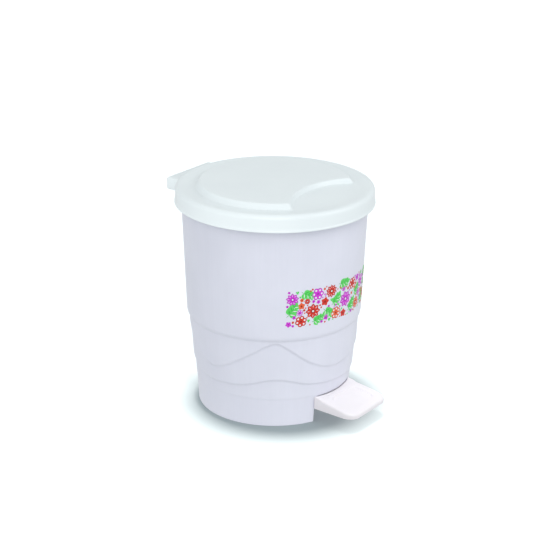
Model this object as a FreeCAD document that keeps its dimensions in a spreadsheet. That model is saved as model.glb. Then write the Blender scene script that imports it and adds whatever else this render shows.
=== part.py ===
import FreeCAD, Part
import math
import os
import sys
from FreeCAD import Vector, Placement, Rotation
import Sketcher

# Pedal bin of about four litres inside, moulded in plastic.
# Frame: +Z up, Z = 0 is the standing surface, the Z axis is the axis of the round body.
# The pedal points to -Y and the lid hinge is at +Y. Lengths in millimetres.

doc = FreeCAD.newDocument("pedal_bin")
sheet = doc.addObject("Spreadsheet::Sheet", "dims")

# ---------------------------------------------------------------- driving sizes
CELLS = [
    # lid
    ("lid_radius", 110.3, "outside radius of the lid's lip"),
    ("lid_skirt_radius", 109.4, "outside radius of the lid's skirt"),
    ("lid_low", 233.9, "lower edge of the lid's skirt"),
    ("lid_rim_high", 252.6, "top of the flat rim of the lid"),
    ("lid_high", 257.6, "top of the raised middle of the lid"),
    ("lid_wall", 2.2, "wall of the lid"),
    ("plateau_foot", 88.2, "radius where the raised middle starts"),
    ("plateau_top", 81.8, "radius where the raised middle is full height"),
    ("step_radius", 92.5, "radius of the curved step at the front of the raised middle"),
    ("step_centre", 136.3, "distance of that curve's centre in front of the axis"),
    # hinge
    ("hinge_back", 113.2, "hinge axis behind the body's axis"),
    ("hinge_high", 238.6, "hinge axis above the standing surface"),
    ("housing_back", 123.8, "outer face of the hinge housing"),
    ("housing_half", 38.0, "half width of the hinge housing"),
    ("housing_top", 246.0, "top of the hinge housing"),
    ("housing_low", 232.0, "lower edge of the hinge housing"),
    ("hinge_pin_radius", 2.0, "radius of the hinge pin"),
    ("ear_in", 12.5, "inner face of each hinge ear of the body"),
    ("ear_out", 18.5, "outer face of each hinge ear of the body"),
    ("ear_radius", 4.5, "round end of the ears"),
    ("cheek_in", 20.0, "inner face of each hinge cheek of the lid"),
    ("cheek_out", 23.0, "outer face of each hinge cheek of the lid"),
    # body
    ("body_wall", 2.2, "wall of the body"),
    ("body_high", 250.1, "top edge of the body"),
    ("floor_low", 30.8, "underside of the body's floor"),
    ("floor_high", 33.0, "top of the body's floor"),
    ("opening_half", 31.6, "half width of the pedal opening"),
    ("relief", 1.6, "height of each wave of the relief on the body"),
    # rod
    ("rod_radius", 1.75, "radius of the lift rod's wire"),
    ("rod_fit", 0.06, "radial running clearance of the rod in its bushes"),
    ("rod_lean", 4.91, "lean of the lift rod towards the back"),
    ("rod_foot_y", 77.33, "lower eye of the rod behind the axis"),
    ("rod_foot_z", 5.6, "lower eye of the rod above the standing surface"),
    ("rod_head_y", 96.45, "upper eye of the rod behind the axis"),
    ("rod_head_z", 228.1, "upper eye of the rod above the standing surface"),
    ("rod_bend", 3.5, "bend radius of the rod's ends"),
    ("rod_hook", 10.4, "how far the rod's bent ends reach sideways"),
    ("eye_in", 4.6, "inner face of the eyes that hold the rod"),
    ("eye_out", 7.6, "outer face of the eyes that hold the rod"),
    # pedal
    ("pedal_pivot_y", -44.7, "pedal axis (negative is in front)"),
    ("pedal_pivot_z", 22.0, "pedal axis above the standing surface"),
    ("pedal_pin_radius", 2.5, "radius of the pedal's pivot pin"),
    ("pedal_fit", 0.06, "radial running clearance of the pivot pin"),
    ("pedal_front", 133.2, "outer edge of the tread in front of the axis"),
    ("pedal_half_in", 33.2, "half width of the tread at the body"),
    ("pedal_half_out", 35.8, "half width of the tread at its outer end"),
    ("pedal_low", 16.8, "lower edge of the tread's skirt"),
    ("pedal_edge_z", 22.0, "top of the tread at its outer edge"),
    ("pedal_slope", 9.5, "slope of the tread"),
    ("pedal_wall", 2.4, "wall of the tread"),
    ("pedal_corner", 13.0, "corner radius of the tread"),
    ("hub_radius", 5.4, "outside radius of the pedal's hub"),
    ("hub_half", 27.0, "half length of the pedal's hub"),
    # bucket
    ("bucket_high", 217.5, "top of the bucket's rim"),
    ("bucket_low", 33.3, "foot of the bucket"),
    ("bucket_top_radius", 85.3, "outside radius of the bucket under its rim"),
    ("bucket_foot_radius", 71.8, "outside radius of the bucket at its foot"),
    ("bucket_wall", 1.8, "wall of the bucket"),
    ("bucket_rim_radius", 95.8, "outside radius of the bucket's rim"),
    ("bail_radius", 1.5, "radius of the handle wire"),
    ("bail_high", 221.0, "handle axis above the standing surface"),
    ("grip_radius", 4.2, "outside radius of the handle's grip"),
]
VAL = {}
for n, (alias, value, note) in enumerate(CELLS, start=1):
    sheet.set("A%d" % n, alias)
    sheet.set("B%d" % n, repr(float(value)))
    sheet.setAlias("B%d" % n, alias)
    sheet.set("C%d" % n, note)
doc.recompute()
for alias, value, note in CELLS:
    VAL[alias] = float(sheet.get(alias))


class Q:
    """A length that knows its value and the sheet expression it comes from."""

    def __init__(self, v, t):
        self.v, self.t = float(v), t

    def __add__(self, o):
        o = q(o)
        return Q(self.v + o.v, "(%s + %s)" % (self.t, o.t))

    def __radd__(self, o):
        return q(o) + self

    def __sub__(self, o):
        o = q(o)
        return Q(self.v - o.v, "(%s - %s)" % (self.t, o.t))

    def __rsub__(self, o):
        return q(o) - self

    def __mul__(self, o):
        o = q(o)
        return Q(self.v * o.v, "(%s * %s)" % (self.t, o.t))

    def __rmul__(self, o):
        return q(o) * self

    def __neg__(self):
        return Q(-self.v, "(0 - %s)" % self.t)


def q(x):
    return x if isinstance(x, Q) else Q(x, repr(float(x)))


def D(alias):
    return Q(VAL[alias], "dims." + alias)


def bind(obj, prop, val):
    val = q(val)
    if "dims." in val.t:
        obj.setExpression(prop, val.t)


def place(obj, x=0, y=0, z=0):
    x, y, z = q(x), q(y), q(z)
    obj.Placement = Placement(Vector(x.v, y.v, z.v), obj.Placement.Rotation)
    for axis, val in (("x", x), ("y", y), ("z", z)):
        bind(obj, "Placement.Base." + axis, val)
    return obj


def box(name, x0, x1, y0, y1, z0, z1):
    """A block between two corners given as sheet lengths."""
    x0, x1, y0, y1, z0, z1 = map(q, (x0, x1, y0, y1, z0, z1))
    o = doc.addObject("Part::Box", name)
    for prop, val in (("Length", x1 - x0), ("Width", y1 - y0), ("Height", z1 - z0)):
        setattr(o, prop, val.v)
        bind(o, prop, val)
    return place(o, x0, y0, z0)


TURN = {"x": Rotation(Vector(0, 1, 0), 90), "y": Rotation(Vector(1, 0, 0), -90), "z": Rotation()}


def cyl(name, r, length, x=0, y=0, z=0, along="z"):
    """A cylinder that starts at x, y, z and runs along +X, +Y or +Z."""
    r, length = q(r), q(length)
    o = doc.addObject("Part::Cylinder", name)
    o.Radius, o.Height = r.v, length.v
    bind(o, "Radius", r)
    bind(o, "Height", length)
    o.Placement = Placement(Vector(), TURN[along])
    return place(o, x, y, z)


def fuse(name, shapes, refine=False):
    o = doc.addObject("Part::MultiFuse", name)
    o.Shapes = shapes
    o.Refine = refine
    return o


def cut(name, base, tool):
    o = doc.addObject("Part::Cut", name)
    o.Base, o.Tool = base, tool
    return o


def common(name, a, b):
    o = doc.addObject("Part::MultiCommon", name)
    o.Shapes = [a, b]
    return o


def outline(sk, pts):
    """Closes a polygon through pts, each point held by its own pair of lengths from the sketch's origin."""
    n = len(pts)
    pts = [(q(a), q(b)) for a, b in pts]
    for i in range(n):
        a, b = pts[i], pts[(i + 1) % n]
        sk.addGeometry(Part.LineSegment(Vector(a[0].v, a[1].v, 0), Vector(b[0].v, b[1].v, 0)), False)
    for i in range(n):
        sk.addConstraint(Sketcher.Constraint("Coincident", i, 2, (i + 1) % n, 1))
    for i, (a, b) in enumerate(pts):
        for kind, axis, val in (("DistanceX", -2, a), ("DistanceY", -1, b)):
            if abs(val.v) < 1e-9:
                sk.addConstraint(Sketcher.Constraint("PointOnObject", i, 1, axis))
            else:
                k = sk.addConstraint(Sketcher.Constraint(kind, -1, 1, i, 1, val.v))
                if "dims." in val.t:
                    sk.setExpression("Constraints[%d]" % k, val.t)
    return sk


def plane_of(body, role):
    for f in body.Origin.OriginFeatures:
        if f.Role == role:
            return f
    raise RuntimeError(role)


def new_body(label):
    b = doc.addObject("PartDesign::Body", label)
    b.Label = label
    return b


def body_sketch(body, name, role, pts=None, offset=None):
    sk = body.newObject("Sketcher::SketchObject", name)
    sk.AttachmentSupport = [(plane_of(body, role), "")]
    sk.MapMode = "FlatFace"
    if offset is not None:
        off = q(offset)
        sk.AttachmentOffset = Placement(Vector(0, 0, off.v), Rotation())
        bind(sk, "AttachmentOffset.Base.z", off)
    if pts:
        outline(sk, pts)
    return sk


def circle(sk, cx, cy, r):
    cx, cy, r = q(cx), q(cy), q(r)
    g = sk.addGeometry(Part.Circle(Vector(cx.v, cy.v, 0), Vector(0, 0, 1), r.v), False)
    k = sk.addConstraint(Sketcher.Constraint("Radius", g, r.v))
    if "dims." in r.t:
        sk.setExpression("Constraints[%d]" % k, r.t)
    for kind, axis, val in (("DistanceX", -2, cx), ("DistanceY", -1, cy)):
        if abs(val.v) < 1e-9:
            sk.addConstraint(Sketcher.Constraint("PointOnObject", g, 3, axis))
        else:
            k = sk.addConstraint(Sketcher.Constraint(kind, -1, 1, g, 3, val.v))
            if "dims." in val.t:
                sk.setExpression("Constraints[%d]" % k, val.t)
    return sk


def revolve(body, name, pts):
    """Turns a profile of (radius, height) points about the body's Z axis."""
    sk = body_sketch(body, name + "_profile", "XZ_Plane", pts)
    rev = body.newObject("PartDesign::Revolution", name)
    rev.Profile = sk
    rev.ReferenceAxis = (sk, ["V_Axis"])
    rev.Angle = 360.0
    return rev


def pad(body, name, sk, length, both=False, reverse=False):
    length = q(length)
    p = body.newObject("PartDesign::Pad", name)
    p.Profile = sk
    p.Length = length.v
    bind(p, "Length", length)
    if both:
        p.SideType = "Symmetric"
    p.Reversed = reverse
    return p


def pocket(body, name, sk, length, both=False, reverse=False):
    length = q(length)
    doc.recompute()
    before = body.Shape.Volume
    p = body.newObject("PartDesign::Pocket", name)
    p.Profile = sk
    p.Length = length.v
    bind(p, "Length", length)
    if both:
        p.SideType = "Symmetric"
    p.Reversed = reverse
    doc.recompute()
    if body.Shape.Volume > before - 0.01:
        raise RuntimeError("%s cuts nothing" % name)
    return p


def edges_where(feature, test):
    names = []
    for i, e in enumerate(feature.Shape.Edges, start=1):
        if test(e):
            names.append("Edge%d" % i)
    return names


def dress(body, kind, name, base, size, test):
    """A fillet or chamfer on the edges of a body's last feature that pass the test."""
    doc.recompute()
    names = edges_where(base, test)
    if not names:
        raise RuntimeError("no edge for " + name)
    f = body.newObject("PartDesign::" + kind, name)
    f.Base = (base, names)
    setattr(f, "Radius" if kind == "Fillet" else "Size", size)
    doc.recompute()
    return f


def at_height(z, tol=0.01):
    return lambda e: abs(e.BoundBox.ZMin - z) < tol and abs(e.BoundBox.ZMax - z) < tol


def sketch_solid(name, plane, pts, start, length, circles=()):
    """A prism. plane 'yz' runs along +X from start, 'xz' along +Y, 'xy' along +Z."""
    sk = doc.addObject("Sketcher::SketchObject", name + "_outline")
    if plane == "yz":
        # local x is global Y, local y is global Z, normal is +X
        sk.Placement = Placement(Vector(0, 0, 0), Rotation(Vector(1, 1, 1), 120))
        direction = Vector(1, 0, 0)
        axis = "x"
    elif plane == "xz":
        # local x is global X, local y is global Z, normal is -Y
        sk.Placement = Placement(Vector(0, 0, 0), Rotation(Vector(1, 0, 0), 90))
        direction = Vector(0, 1, 0)
        axis = "y"
    else:
        direction = Vector(0, 0, 1)
        axis = "z"
    start = q(start)
    if axis == "x":
        sk.Placement.Base.x = start.v
    elif axis == "y":
        sk.Placement.Base.y = start.v
    else:
        sk.Placement.Base.z = start.v
    bind(sk, "Placement.Base." + axis, start)
    if pts:
        outline(sk, pts)
    for c in circles:
        circle(sk, *c)
    ex = doc.addObject("Part::Extrusion", name)
    ex.Base = sk
    ex.DirMode = "Custom"
    ex.Dir = direction
    length = q(length)
    ex.LengthFwd = length.v
    bind(ex, "LengthFwd", length)
    ex.LengthRev = 0
    ex.Solid = True
    return ex


def fillet(name, base, radius, test):
    doc.recompute()
    o = doc.addObject("Part::Fillet", name)
    o.Base = base
    edges = [(i, radius, radius) for i, e in enumerate(base.Shape.Edges, start=1) if test(e)]
    if not edges:
        raise RuntimeError("no edge for " + name)
    o.Edges = edges
    return o


def upright(e):
    b = e.BoundBox
    return b.ZLength > 0.5 and b.XLength < 1e-3 and b.YLength < 1e-3


PARTS = []


def done(obj, label):
    obj.Label = label
    PARTS.append((label, obj))
    return obj


W = D("body_wall")

# ---------------------------------------------------------------- outer body
# Radius of the plain cone under the relief, by height.
GROUND = [(0, 84.5), (22, 85.9), (33, 86.8), (42, 87.4), (60, 88.8), (80, 90.1), (96, 90.9)]
SHOULDER = [(101.5, 94.4), (106.5, 96.6), (111, 97.3)]
BODY_TOP = 103.2
body = new_body("body_shell")
profile = [(r, z) for z, r in GROUND + SHOULDER]
profile += [(102.6, D("lid_low")), (BODY_TOP, D("body_high") - 3.4), (BODY_TOP + 1.0, D("body_high") - 3.0), (BODY_TOP + 1.0, D("body_high"))]
inner = [(BODY_TOP - W, D("body_high")), (102.6 - W, D("lid_low")), (97.3 - W, 111), (96.4 - W, 107.2), (93.4 - W, 101.4), (90.9 - W, 98), (90.1 - W, 80), (88.8 - W, 60), (87.4 - W, 42), (86.8 - W, D("floor_high"))]
profile += inner + [(0, D("floor_high")), (0, D("floor_low")), (86.6 - W, D("floor_low")), (84.5 - W, 0)]
revolve(body, "body_turned", profile)

# The relief: two layers on the lower cone whose lower borders run in waves.
# Each wave is a list of (angle from the front, counted towards +X, height).
WAVE_B = [(-180, 79), (-170, 82), (-160, 92), (-148, 102.5), (-137, 95), (-127, 83), (-117, 72.5), (-107, 66.5), (-98, 64.8), (-86.5, 71.4), (-76.8, 80.7), (-68.1, 89.4), (-60, 97.8), (-52, 102.6), (-44.1, 95.5), (-35.6, 84.8), (-26.4, 75), (-16.2, 68.3), (-6.7, 65.4), (1.6, 66.1), (10, 68), (18, 70.4), (33, 76), (43, 84), (52, 94.5), (61, 102.5), (69, 98), (78, 88), (88, 74), (98, 65.5), (108, 66), (118, 72), (128, 83), (138, 95), (148, 102.5), (160, 92), (170, 82)]
WAVE_C = [(-180, 48), (-165, 54), (-148, 57.5), (-135, 55), (-120, 49), (-108, 46.5), (-98, 46.3), (-88, 47.3), (-80, 48.5), (-73, 50.5), (-64, 54.7), (-55.9, 57.7), (-47.6, 57.6), (-39, 54.5), (-30, 50.5), (-20, 48), (-9, 46), (1, 45.3), (10, 44.6), (20, 44.8), (33, 47), (45, 52), (55, 56.5), (61, 57.8), (68, 56.5), (78, 51.5), (88, 47.5), (98, 46.2), (108, 46.5), (120, 49), (135, 55), (148, 57.5), (165, 54)]


def ring_on(points, radius):
    out = []
    for angle, z in points:
        a = math.radians(angle - 90.0)
        out.append(Vector(radius * math.cos(a), radius * math.sin(a), z))
    return out


def below_wave(points, r_in, r_out, depth):
    """Everything under a wave line between two radii, as one closed solid."""
    knots = [a for a, z in points] + [180.0]
    edges = []
    for r in (r_in, r_out):
        c = Part.BSplineCurve()
        c.interpolate(Points=ring_on(points, r), PeriodicFlag=True, Parameters=knots)
        edges.append(c.toShape())
    ribbon = Part.makeRuledSurface(edges[0], edges[1])
    solid = ribbon.extrude(Vector(0, 0, -depth))
    if solid.ShapeType != "Solid":
        solid = solid.Solids[0]
    if solid.Volume < 0:
        solid.reverse()
    return solid


def turned(points):
    wire = Part.makePolygon([Vector(r, 0, z) for r, z in points + points[:1]])
    return Part.Face(wire).revolve(Vector(), Vector(0, 0, 1), 360)


rel = VAL["relief"]
layer_c = turned([(86.6, 38), (87.2 + rel, 38), (88.8 + rel, 60), (90.1 + rel, 80), (91.0 + rel, 97), (94.2, 101.0), (92.5, 101.0), (90.0, 96.5), (89.2, 80), (87.9, 60)])
layer_b = turned([(88.6, 58), (88.7 + 2 * rel - 0.1, 58), (90.1 + 2 * rel - 0.1, 80), (90.9 + 2 * rel - 0.1, 95), (96.0, 105.2), (94.0, 105.2), (91.0, 98.5), (89.8, 80)])
layer_c = layer_c.cut(below_wave(WAVE_C, 84, 98, 60))
layer_b = layer_b.cut(below_wave(WAVE_B, 84, 98, 70))
relief_c = doc.addObject("Part::Feature", "relief_lower")
relief_c.Shape = layer_c
relief_b = doc.addObject("Part::Feature", "relief_upper")
relief_b.Shape = layer_b

# What every inner rib of the body is trimmed to: it ends inside the wall.
mid = new_body("rib_limit")
revolve(mid, "rib_limit_turned", [(0, 20), (84.8, 20), (85.8, D("floor_high")), (86.4, 42), (87.8, 60), (89.1, 80), (89.8, 98), (92.4, 102), (95.4, 107.5), (96.2, 111), (101.5, D("lid_low")), (0, D("lid_low"))])

# hinge ears with their gussets
HY, HZ = D("hinge_back"), D("hinge_high")
ear_pts = [(99.5, 222), (101.9, 214), (HY - 9.6, HZ - 12.0), (HY - 6.5, HZ - 5.6), (HY - 1.4, HZ - D("ear_radius") + 0.22), (HY, HZ + D("ear_radius")), (99.5, HZ + D("ear_radius"))]
ears = []
for side, x0 in (("right", D("ear_in")), ("left", -D("ear_out"))):
    plate = sketch_solid("ear_plate_" + side, "yz", ear_pts, x0, D("ear_out") - D("ear_in"))
    knob = cyl("ear_end_" + side, D("ear_radius"), D("ear_out") - D("ear_in"), x0, HY, HZ, "x")
    ears += [plate, knob]
# everything of the ears that would stand inside the body is removed
inside = new_body("ear_limit")
revolve(inside, "ear_limit_turned", [(0, 200), (101.6 - W, 200), (102.9 - W, D("body_high") + 4), (0, D("body_high") + 4)])
ears_all = cut("ears_trimmed", fuse("ears_raw", ears), inside)

# bosses for the bearing screws, on the floor
BX, BY = 37.5, 5.0
PY, PZ = D("pedal_pivot_y"), D("pedal_pivot_z")
bosses, pilots = [], []
for sx in (-1, 1):
    for sy in (-1, 1):
        bosses.append(cyl("boss_%d_%d" % (sx + 1, sy + 1), 3.6, 39.5 - D("floor_high") + 0.5, sx * BX, PY + sy * BY, D("floor_high") - 0.5))
        pilots.append(cyl("pilot_%d_%d" % (sx + 1, sy + 1), 1.5, 38.0 - D("floor_low") + 1, sx * BX, PY + sy * BY, D("floor_low") - 1))

# ribs that form the rod's channel on the back wall, along the leaning rod
lean_at = Vector(0, VAL["rod_foot_y"] + (32 - VAL["rod_foot_z"]) * math.tan(math.radians(VAL["rod_lean"])), 32)
LEAN = Placement(lean_at, Rotation(Vector(1, 0, 0), -VAL["rod_lean"]))


def leaned(obj, local):
    """Places an object given in the rod's own frame: z along the rod, origin on it 32 mm up."""
    obj.Placement = LEAN.multiply(Placement(local, obj.Placement.Rotation))
    return obj


def lean_box(name, x0, x1, y0, y1, z0, z1):
    o = doc.addObject("Part::Box", name)
    o.Length, o.Width, o.Height = x1 - x0, y1 - y0, z1 - z0
    return leaned(o, Vector(x0, y0, z0))


def lean_cyl(name, r, z0, z1, y=0):
    r = q(r)
    o = doc.addObject("Part::Cylinder", name)
    o.Radius, o.Height = r.v, z1 - z0
    bind(o, "Radius", r)
    return leaned(o, Vector(0, y, z0))


ribs = fuse("channel_ribs_raw", [lean_box("rib_right", 6.2, 8.2, -3.2, 22, 20, 186), lean_box("rib_left", -8.2, -6.2, -3.2, 22, 20, 186)])
ribs = common("channel_ribs", ribs, mid)

# stiffening ribs under the floor, beside the pedal lever and outside it
low_ribs = []
for i, x in enumerate((-16.5, 14.5)):
    low_ribs.append(box("lever_rib_%d" % i, x, x + 2, -26, 66, 21, D("floor_low") + 0.5))
for i, (a, b) in enumerate(((-83.5, -56), (56, 83.5))):
    low_ribs.append(box("side_rib_%d" % i, a, b, 6, 8, 16, D("floor_low") + 0.5))
    low_ribs.append(box("side_rib_back_%d" % i, a * 0.98, b * 0.98 if b > 0 else b, 32, 34, 16, D("floor_low") + 0.5))
rib_trim = new_body("low_rib_limit")
revolve(rib_trim, "low_rib_limit_turned", [(0, 2), (83.6, 2), (85.0, 32), (0, 32)])
low_ribs = common("low_ribs", fuse("low_ribs_raw", low_ribs), rib_trim)

solid = fuse("body_solid", [body, relief_c, relief_b, ears_all, ribs, low_ribs] + bosses)

# openings: pedal opening in the skirt, hole for the lower bush, gap for the lid lever, pin bores
pedal_gap = box("pedal_gap", -D("opening_half"), D("opening_half"), -100, -60, -5, D("floor_low"))
pedal_gap = fillet("pedal_gap_round", pedal_gap, 3.0, lambda e: abs(e.BoundBox.ZMin - VAL["floor_low"]) < 0.01 and e.BoundBox.XLength < 0.01 and e.BoundBox.YLength > 10)
bush_hole = cyl("bush_hole", 3.4, 8, 0, lean_at.y, 28)
lever_gap = box("lever_gap", -4, 11.6, 86, 108, 220, 260)
pins = [cyl("ear_bore", D("hinge_pin_radius"), 50, -25, HY, HZ, "x")]
outer = cut("outer_body_final", solid, fuse("body_openings", [pedal_gap, bush_hole, lever_gap] + pilots + pins))
done(outer, "outer_body")

# ---------------------------------------------------------------- lid
LW = D("lid_wall")
LR, LS, LZ, RZ, HZ2 = D("lid_radius"), D("lid_skirt_radius"), D("lid_low"), D("lid_rim_high"), D("lid_high")
PF, PT = D("plateau_foot"), D("plateau_top")
lid_shell = new_body("lid_shell")
top_line = [(LR, LZ), (LR, LZ + 1.7), (LS + 0.2, LZ + 2.4), (LS, RZ - 5.0), (LS - 0.35, RZ - 3.2), (LS - 1.4, RZ - 1.5), (LS - 3.0, RZ - 0.4), (LS - 4.8, RZ), (PF, RZ), (PF - 1.6, RZ + 0.8), (PT + 2.4, HZ2 - 1.8), (PT + 0.8, HZ2 - 0.9), (PT - 1.6, HZ2 - 0.5), (50, HZ2 - 0.15), (0, HZ2)]
under_line = [(0, HZ2 - LW), (50, HZ2 - LW - 0.15), (PT - 2.0, HZ2 - LW - 0.5), (PT + 0.2, HZ2 - LW - 1.4), (PF - 3.4, RZ - LW + 0.8), (PF - 1.0, RZ - LW), (93, RZ - LW), (93, RZ - LW - 3.2), (95, RZ - LW - 3.2), (95, RZ - LW), (LS - 5.2, RZ - LW), (LS - 3.4, RZ - LW - 1.0), (LS - 2.3, RZ - 5.4), (LS - 2.0, LZ)]
revolve(lid_shell, "lid_turned", top_line + under_line)

# the solid under the lid's top face, to cut the step from
lid_full = new_body("lid_full")
revolve(lid_full, "lid_full_turned", [(PF, RZ - LW), (PF, RZ), (PF - 1.6, RZ + 0.8), (PT + 2.4, HZ2 - 1.8), (PT + 0.8, HZ2 - 0.9), (PT - 1.6, HZ2 - 0.5), (50, HZ2 - 0.15), (0, HZ2), (0, RZ - LW)])
bite = cyl("step_cut", D("step_radius"), 20, 0, -D("step_centre"), RZ)
bite_deep = cyl("step_floor_cut", D("step_radius") + LW, 20, 0, -D("step_centre"), RZ - LW)
step_floor = common("step_floor", lid_full, bite_deep)
lid_a = fuse("lid_with_step", [lid_shell, step_floor])
lid_b = cut("lid_stepped", lid_a, bite)

# hinge housing: top, back wall, ends and two cheeks, outside the skirt only
HB, HW, HT, HL = D("housing_back"), D("housing_half"), D("housing_top"), D("housing_low")
house_raw = box("housing_block", -HW, HW, 80, HB, HL, HT)
house_raw = fillet("housing_round", house_raw, 3.0, lambda e: upright(e) and e.BoundBox.YMax > VAL["housing_back"] - 0.1)
doc.recompute()
house_raw = fillet("housing_soft", house_raw, 1.6, lambda e: abs(e.BoundBox.ZMin - VAL["housing_top"]) < 0.01 and abs(e.BoundBox.ZMax - VAL["housing_top"]) < 0.01 and e.BoundBox.YMax > 90)
rooms = [
    box("room_mid", -D("cheek_in"), D("cheek_in"), 79, HB - LW, HL - 1, HT - LW),
    box("room_right", D("cheek_out"), HW - 2.4, 79, HB - LW, HL - 1, HT - LW),
    box("room_left", -HW + 2.4, -D("cheek_out"), 79, HB - LW, HL - 1, HT - LW),
]
house = cut("housing_hollow", house_raw, fuse("housing_rooms", rooms))
house = cut("housing_outside", house, cyl("housing_inside", LS - 1.0, 40, 0, 0, 220))
lid_c = fuse("lid_housed", [lid_b, house])
lid_cuts = [
    box("ear_slot_right", D("ear_in") - 0.6, D("ear_out") + 0.6, 99, HB - LW, 225, HT - LW),
    box("ear_slot_left", -D("ear_out") - 0.6, -D("ear_in") + 0.6, 99, HB - LW, 225, HT - LW),
    cyl("cheek_bore", D("hinge_pin_radius") + 0.06, 50, -25, HY, HZ, "x"),
    box("ring_gap", -12, 17, 88, 99, RZ - LW - 4, RZ - LW),
]
lid_d = cut("lid_cut", lid_c, fuse("lid_cutters", lid_cuts))
# two bosses under the raised middle take the screws of the lid lever
SX = (-6.0, 12.0)
SY = 73.0
lid_e = fuse("lid_bossed", [lid_d] + [cyl("lid_boss_%d" % i, 3.2, 5.6, x, SY, RZ - LW) for i, x in enumerate(SX)])
lid_pilots = fuse("lid_pilots", [cyl("lid_pilot_%d" % i, 1.2, 4.6, x, SY, RZ - LW - 0.5) for i, x in enumerate(SX)])
lid = cut("lid_final", lid_e, lid_pilots)
done(lid, "lid")

# ---------------------------------------------------------------- lid lever
RY, RZH = D("rod_head_y"), D("rod_head_z")
plate = box("lever_foot", -10, 16, 66, 98.2, RZ - LW - 2.5, RZ - LW)
plate = fillet("lever_foot_round", plate, 3.0, upright)
web = sketch_solid("lever_web", "yz", [(72, RZ - LW - 2.0), (84, 236.5), (88.4, 229.0), (91.0, 224.6), (95.6, 222.0), (100.8, 222.2), (104.6, 226.0), (106.0, 231.5), (106.0, 240.0), (98.0, RZ - LW - 2.0)], D("eye_in"), D("eye_out") - D("eye_in"))
lever = fuse("lid_lever_raw", [plate, web])
# The slot follows the rod's pin: it runs along the line from the hinge axis to the pin.
sdir = math.degrees(math.atan2(VAL["hinge_high"] - VAL["rod_head_z"], VAL["hinge_back"] - VAL["rod_head_y"]))


def slot(name, cy, cz, angle, half, r, x0, x1):
    """A slot through x0..x1 whose middle line runs at an angle in the YZ plane."""
    c, s = math.cos(math.radians(angle)), math.sin(math.radians(angle))
    b = doc.addObject("Part::Box", name + "_bar")
    b.Length, b.Width, b.Height = x1 - x0, 2 * half, 2 * r
    rot = Rotation(Vector(1, 0, 0), angle)
    b.Placement = Placement(Vector(x0, cy, cz), rot).multiply(Placement(Vector(0, -half, -r), Rotation()))
    e1 = cyl(name + "_end1", r, x1 - x0, x0, cy - half * c, cz - half * s, "x")
    e2 = cyl(name + "_end2", r, x1 - x0, x0, cy + half * c, cz + half * s, "x")
    return fuse(name, [b, e1, e2])


SLOT_Y, SLOT_Z, SLOT_HALF, SLOT_R = 98.30, 228.88, 2.15, 2.48
lever_slot = slot("lever_slot", SLOT_Y, SLOT_Z, sdir, SLOT_HALF, SLOT_R, 3, 9)
lever_holes = [cyl("lever_hole_%d" % i, 1.65, 6, x, SY, RZ - LW - 4) for i, x in enumerate(SX)]
lever = cut("lid_lever_final", lever, fuse("lever_cutters", [lever_slot] + lever_holes))
done(lever, "lid_lever")


def pan_screw(name, x, y, z, shank, length, head, thick):
    """A pan-head screw that points up; z is the underside of what its head bears on."""
    x, y, z = q(x), q(y), q(z)
    shaft = cyl(name + "_shank", shank, length, x, y, z)
    tip = doc.addObject("Part::Cone", name + "_tip")
    tip.Radius1, tip.Radius2, tip.Height = shank, shank * 0.3, shank
    place(tip, x, y, z + length)
    cap = cyl(name + "_head", head, thick, x, y, z - thick)
    one = fuse(name + "_whole", [shaft, tip, cap])
    one = fillet(name + "_soft", one, thick * 0.45, lambda e: abs(e.BoundBox.ZMin - (z.v - thick)) < 0.01 and abs(e.BoundBox.ZMax - (z.v - thick)) < 0.01)
    cross = fuse(name + "_drive", [box(name + "_drive_a", x - head * 0.6, x + head * 0.6, y - 0.35, y + 0.35, z - thick - 0.1, z - thick * 0.45), box(name + "_drive_b", x - 0.35, x + 0.35, y - head * 0.6, y + head * 0.6, z - thick - 0.1, z - thick * 0.45)])
    return cut(name, one, cross)


screws = [pan_screw("lever_screw_%d" % i, x, SY, RZ - LW - 2.5, 1.2, 5.2, 2.6, 1.6) for i, x in enumerate(SX)]
done(fuse("lid_lever_screws_final", screws), "lid_lever_screws")

# ---------------------------------------------------------------- hinge pin and its caps
pin = new_body("hinge_pin")
sk = body_sketch(pin, "hinge_pin_circle", "YZ_Plane", offset=-27.5)
circle(sk, HY, HZ, D("hinge_pin_radius"))
p = pad(pin, "hinge_pin_bar", sk, 55.0)
dress(pin, "Chamfer", "hinge_pin_ends", p, 0.4, lambda e: e.BoundBox.XLength < 0.01)
done(pin, "hinge_pin")

caps = []
for side, x0, xr in (("right", 23.35, 26.2), ("left", -26.95, -26.2)):
    c = cyl("pin_cap_" + side, 3.5, 3.6, x0, HY, HZ, "x")
    c = fillet("pin_cap_soft_" + side, c, 0.8, lambda e, side=side: e.BoundBox.XLength < 0.01 and (e.BoundBox.XMin > 26.5 if side == "right" else e.BoundBox.XMin < -26.5))
    caps.append(c)
caps = cut("hinge_pin_caps_final", fuse("hinge_pin_caps_raw", caps), cyl("cap_bore", D("hinge_pin_radius"), 56, -28, HY, HZ, "x"))
done(caps, "hinge_pin_caps")

# ---------------------------------------------------------------- lift rod
FY, FZ = VAL["rod_foot_y"], VAL["rod_foot_z"]
GY, GZ = VAL["rod_head_y"], VAL["rod_head_z"]
rb, hook = VAL["rod_bend"], VAL["rod_hook"]
up = Vector(0, GY - FY, GZ - FZ).normalize()
foot, head = Vector(0, FY, FZ), Vector(0, GY, GZ)
ex = Vector(1, 0, 0)


def corner(p, d_in, d_out, r):
    """Tangent arc that turns from d_in to d_out (at a right angle) round the point p."""
    a = p - d_in * r
    b = p + d_out * r
    c = a + d_out * r
    m = c + (p - c).normalize() * r
    return a, m, b


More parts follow.
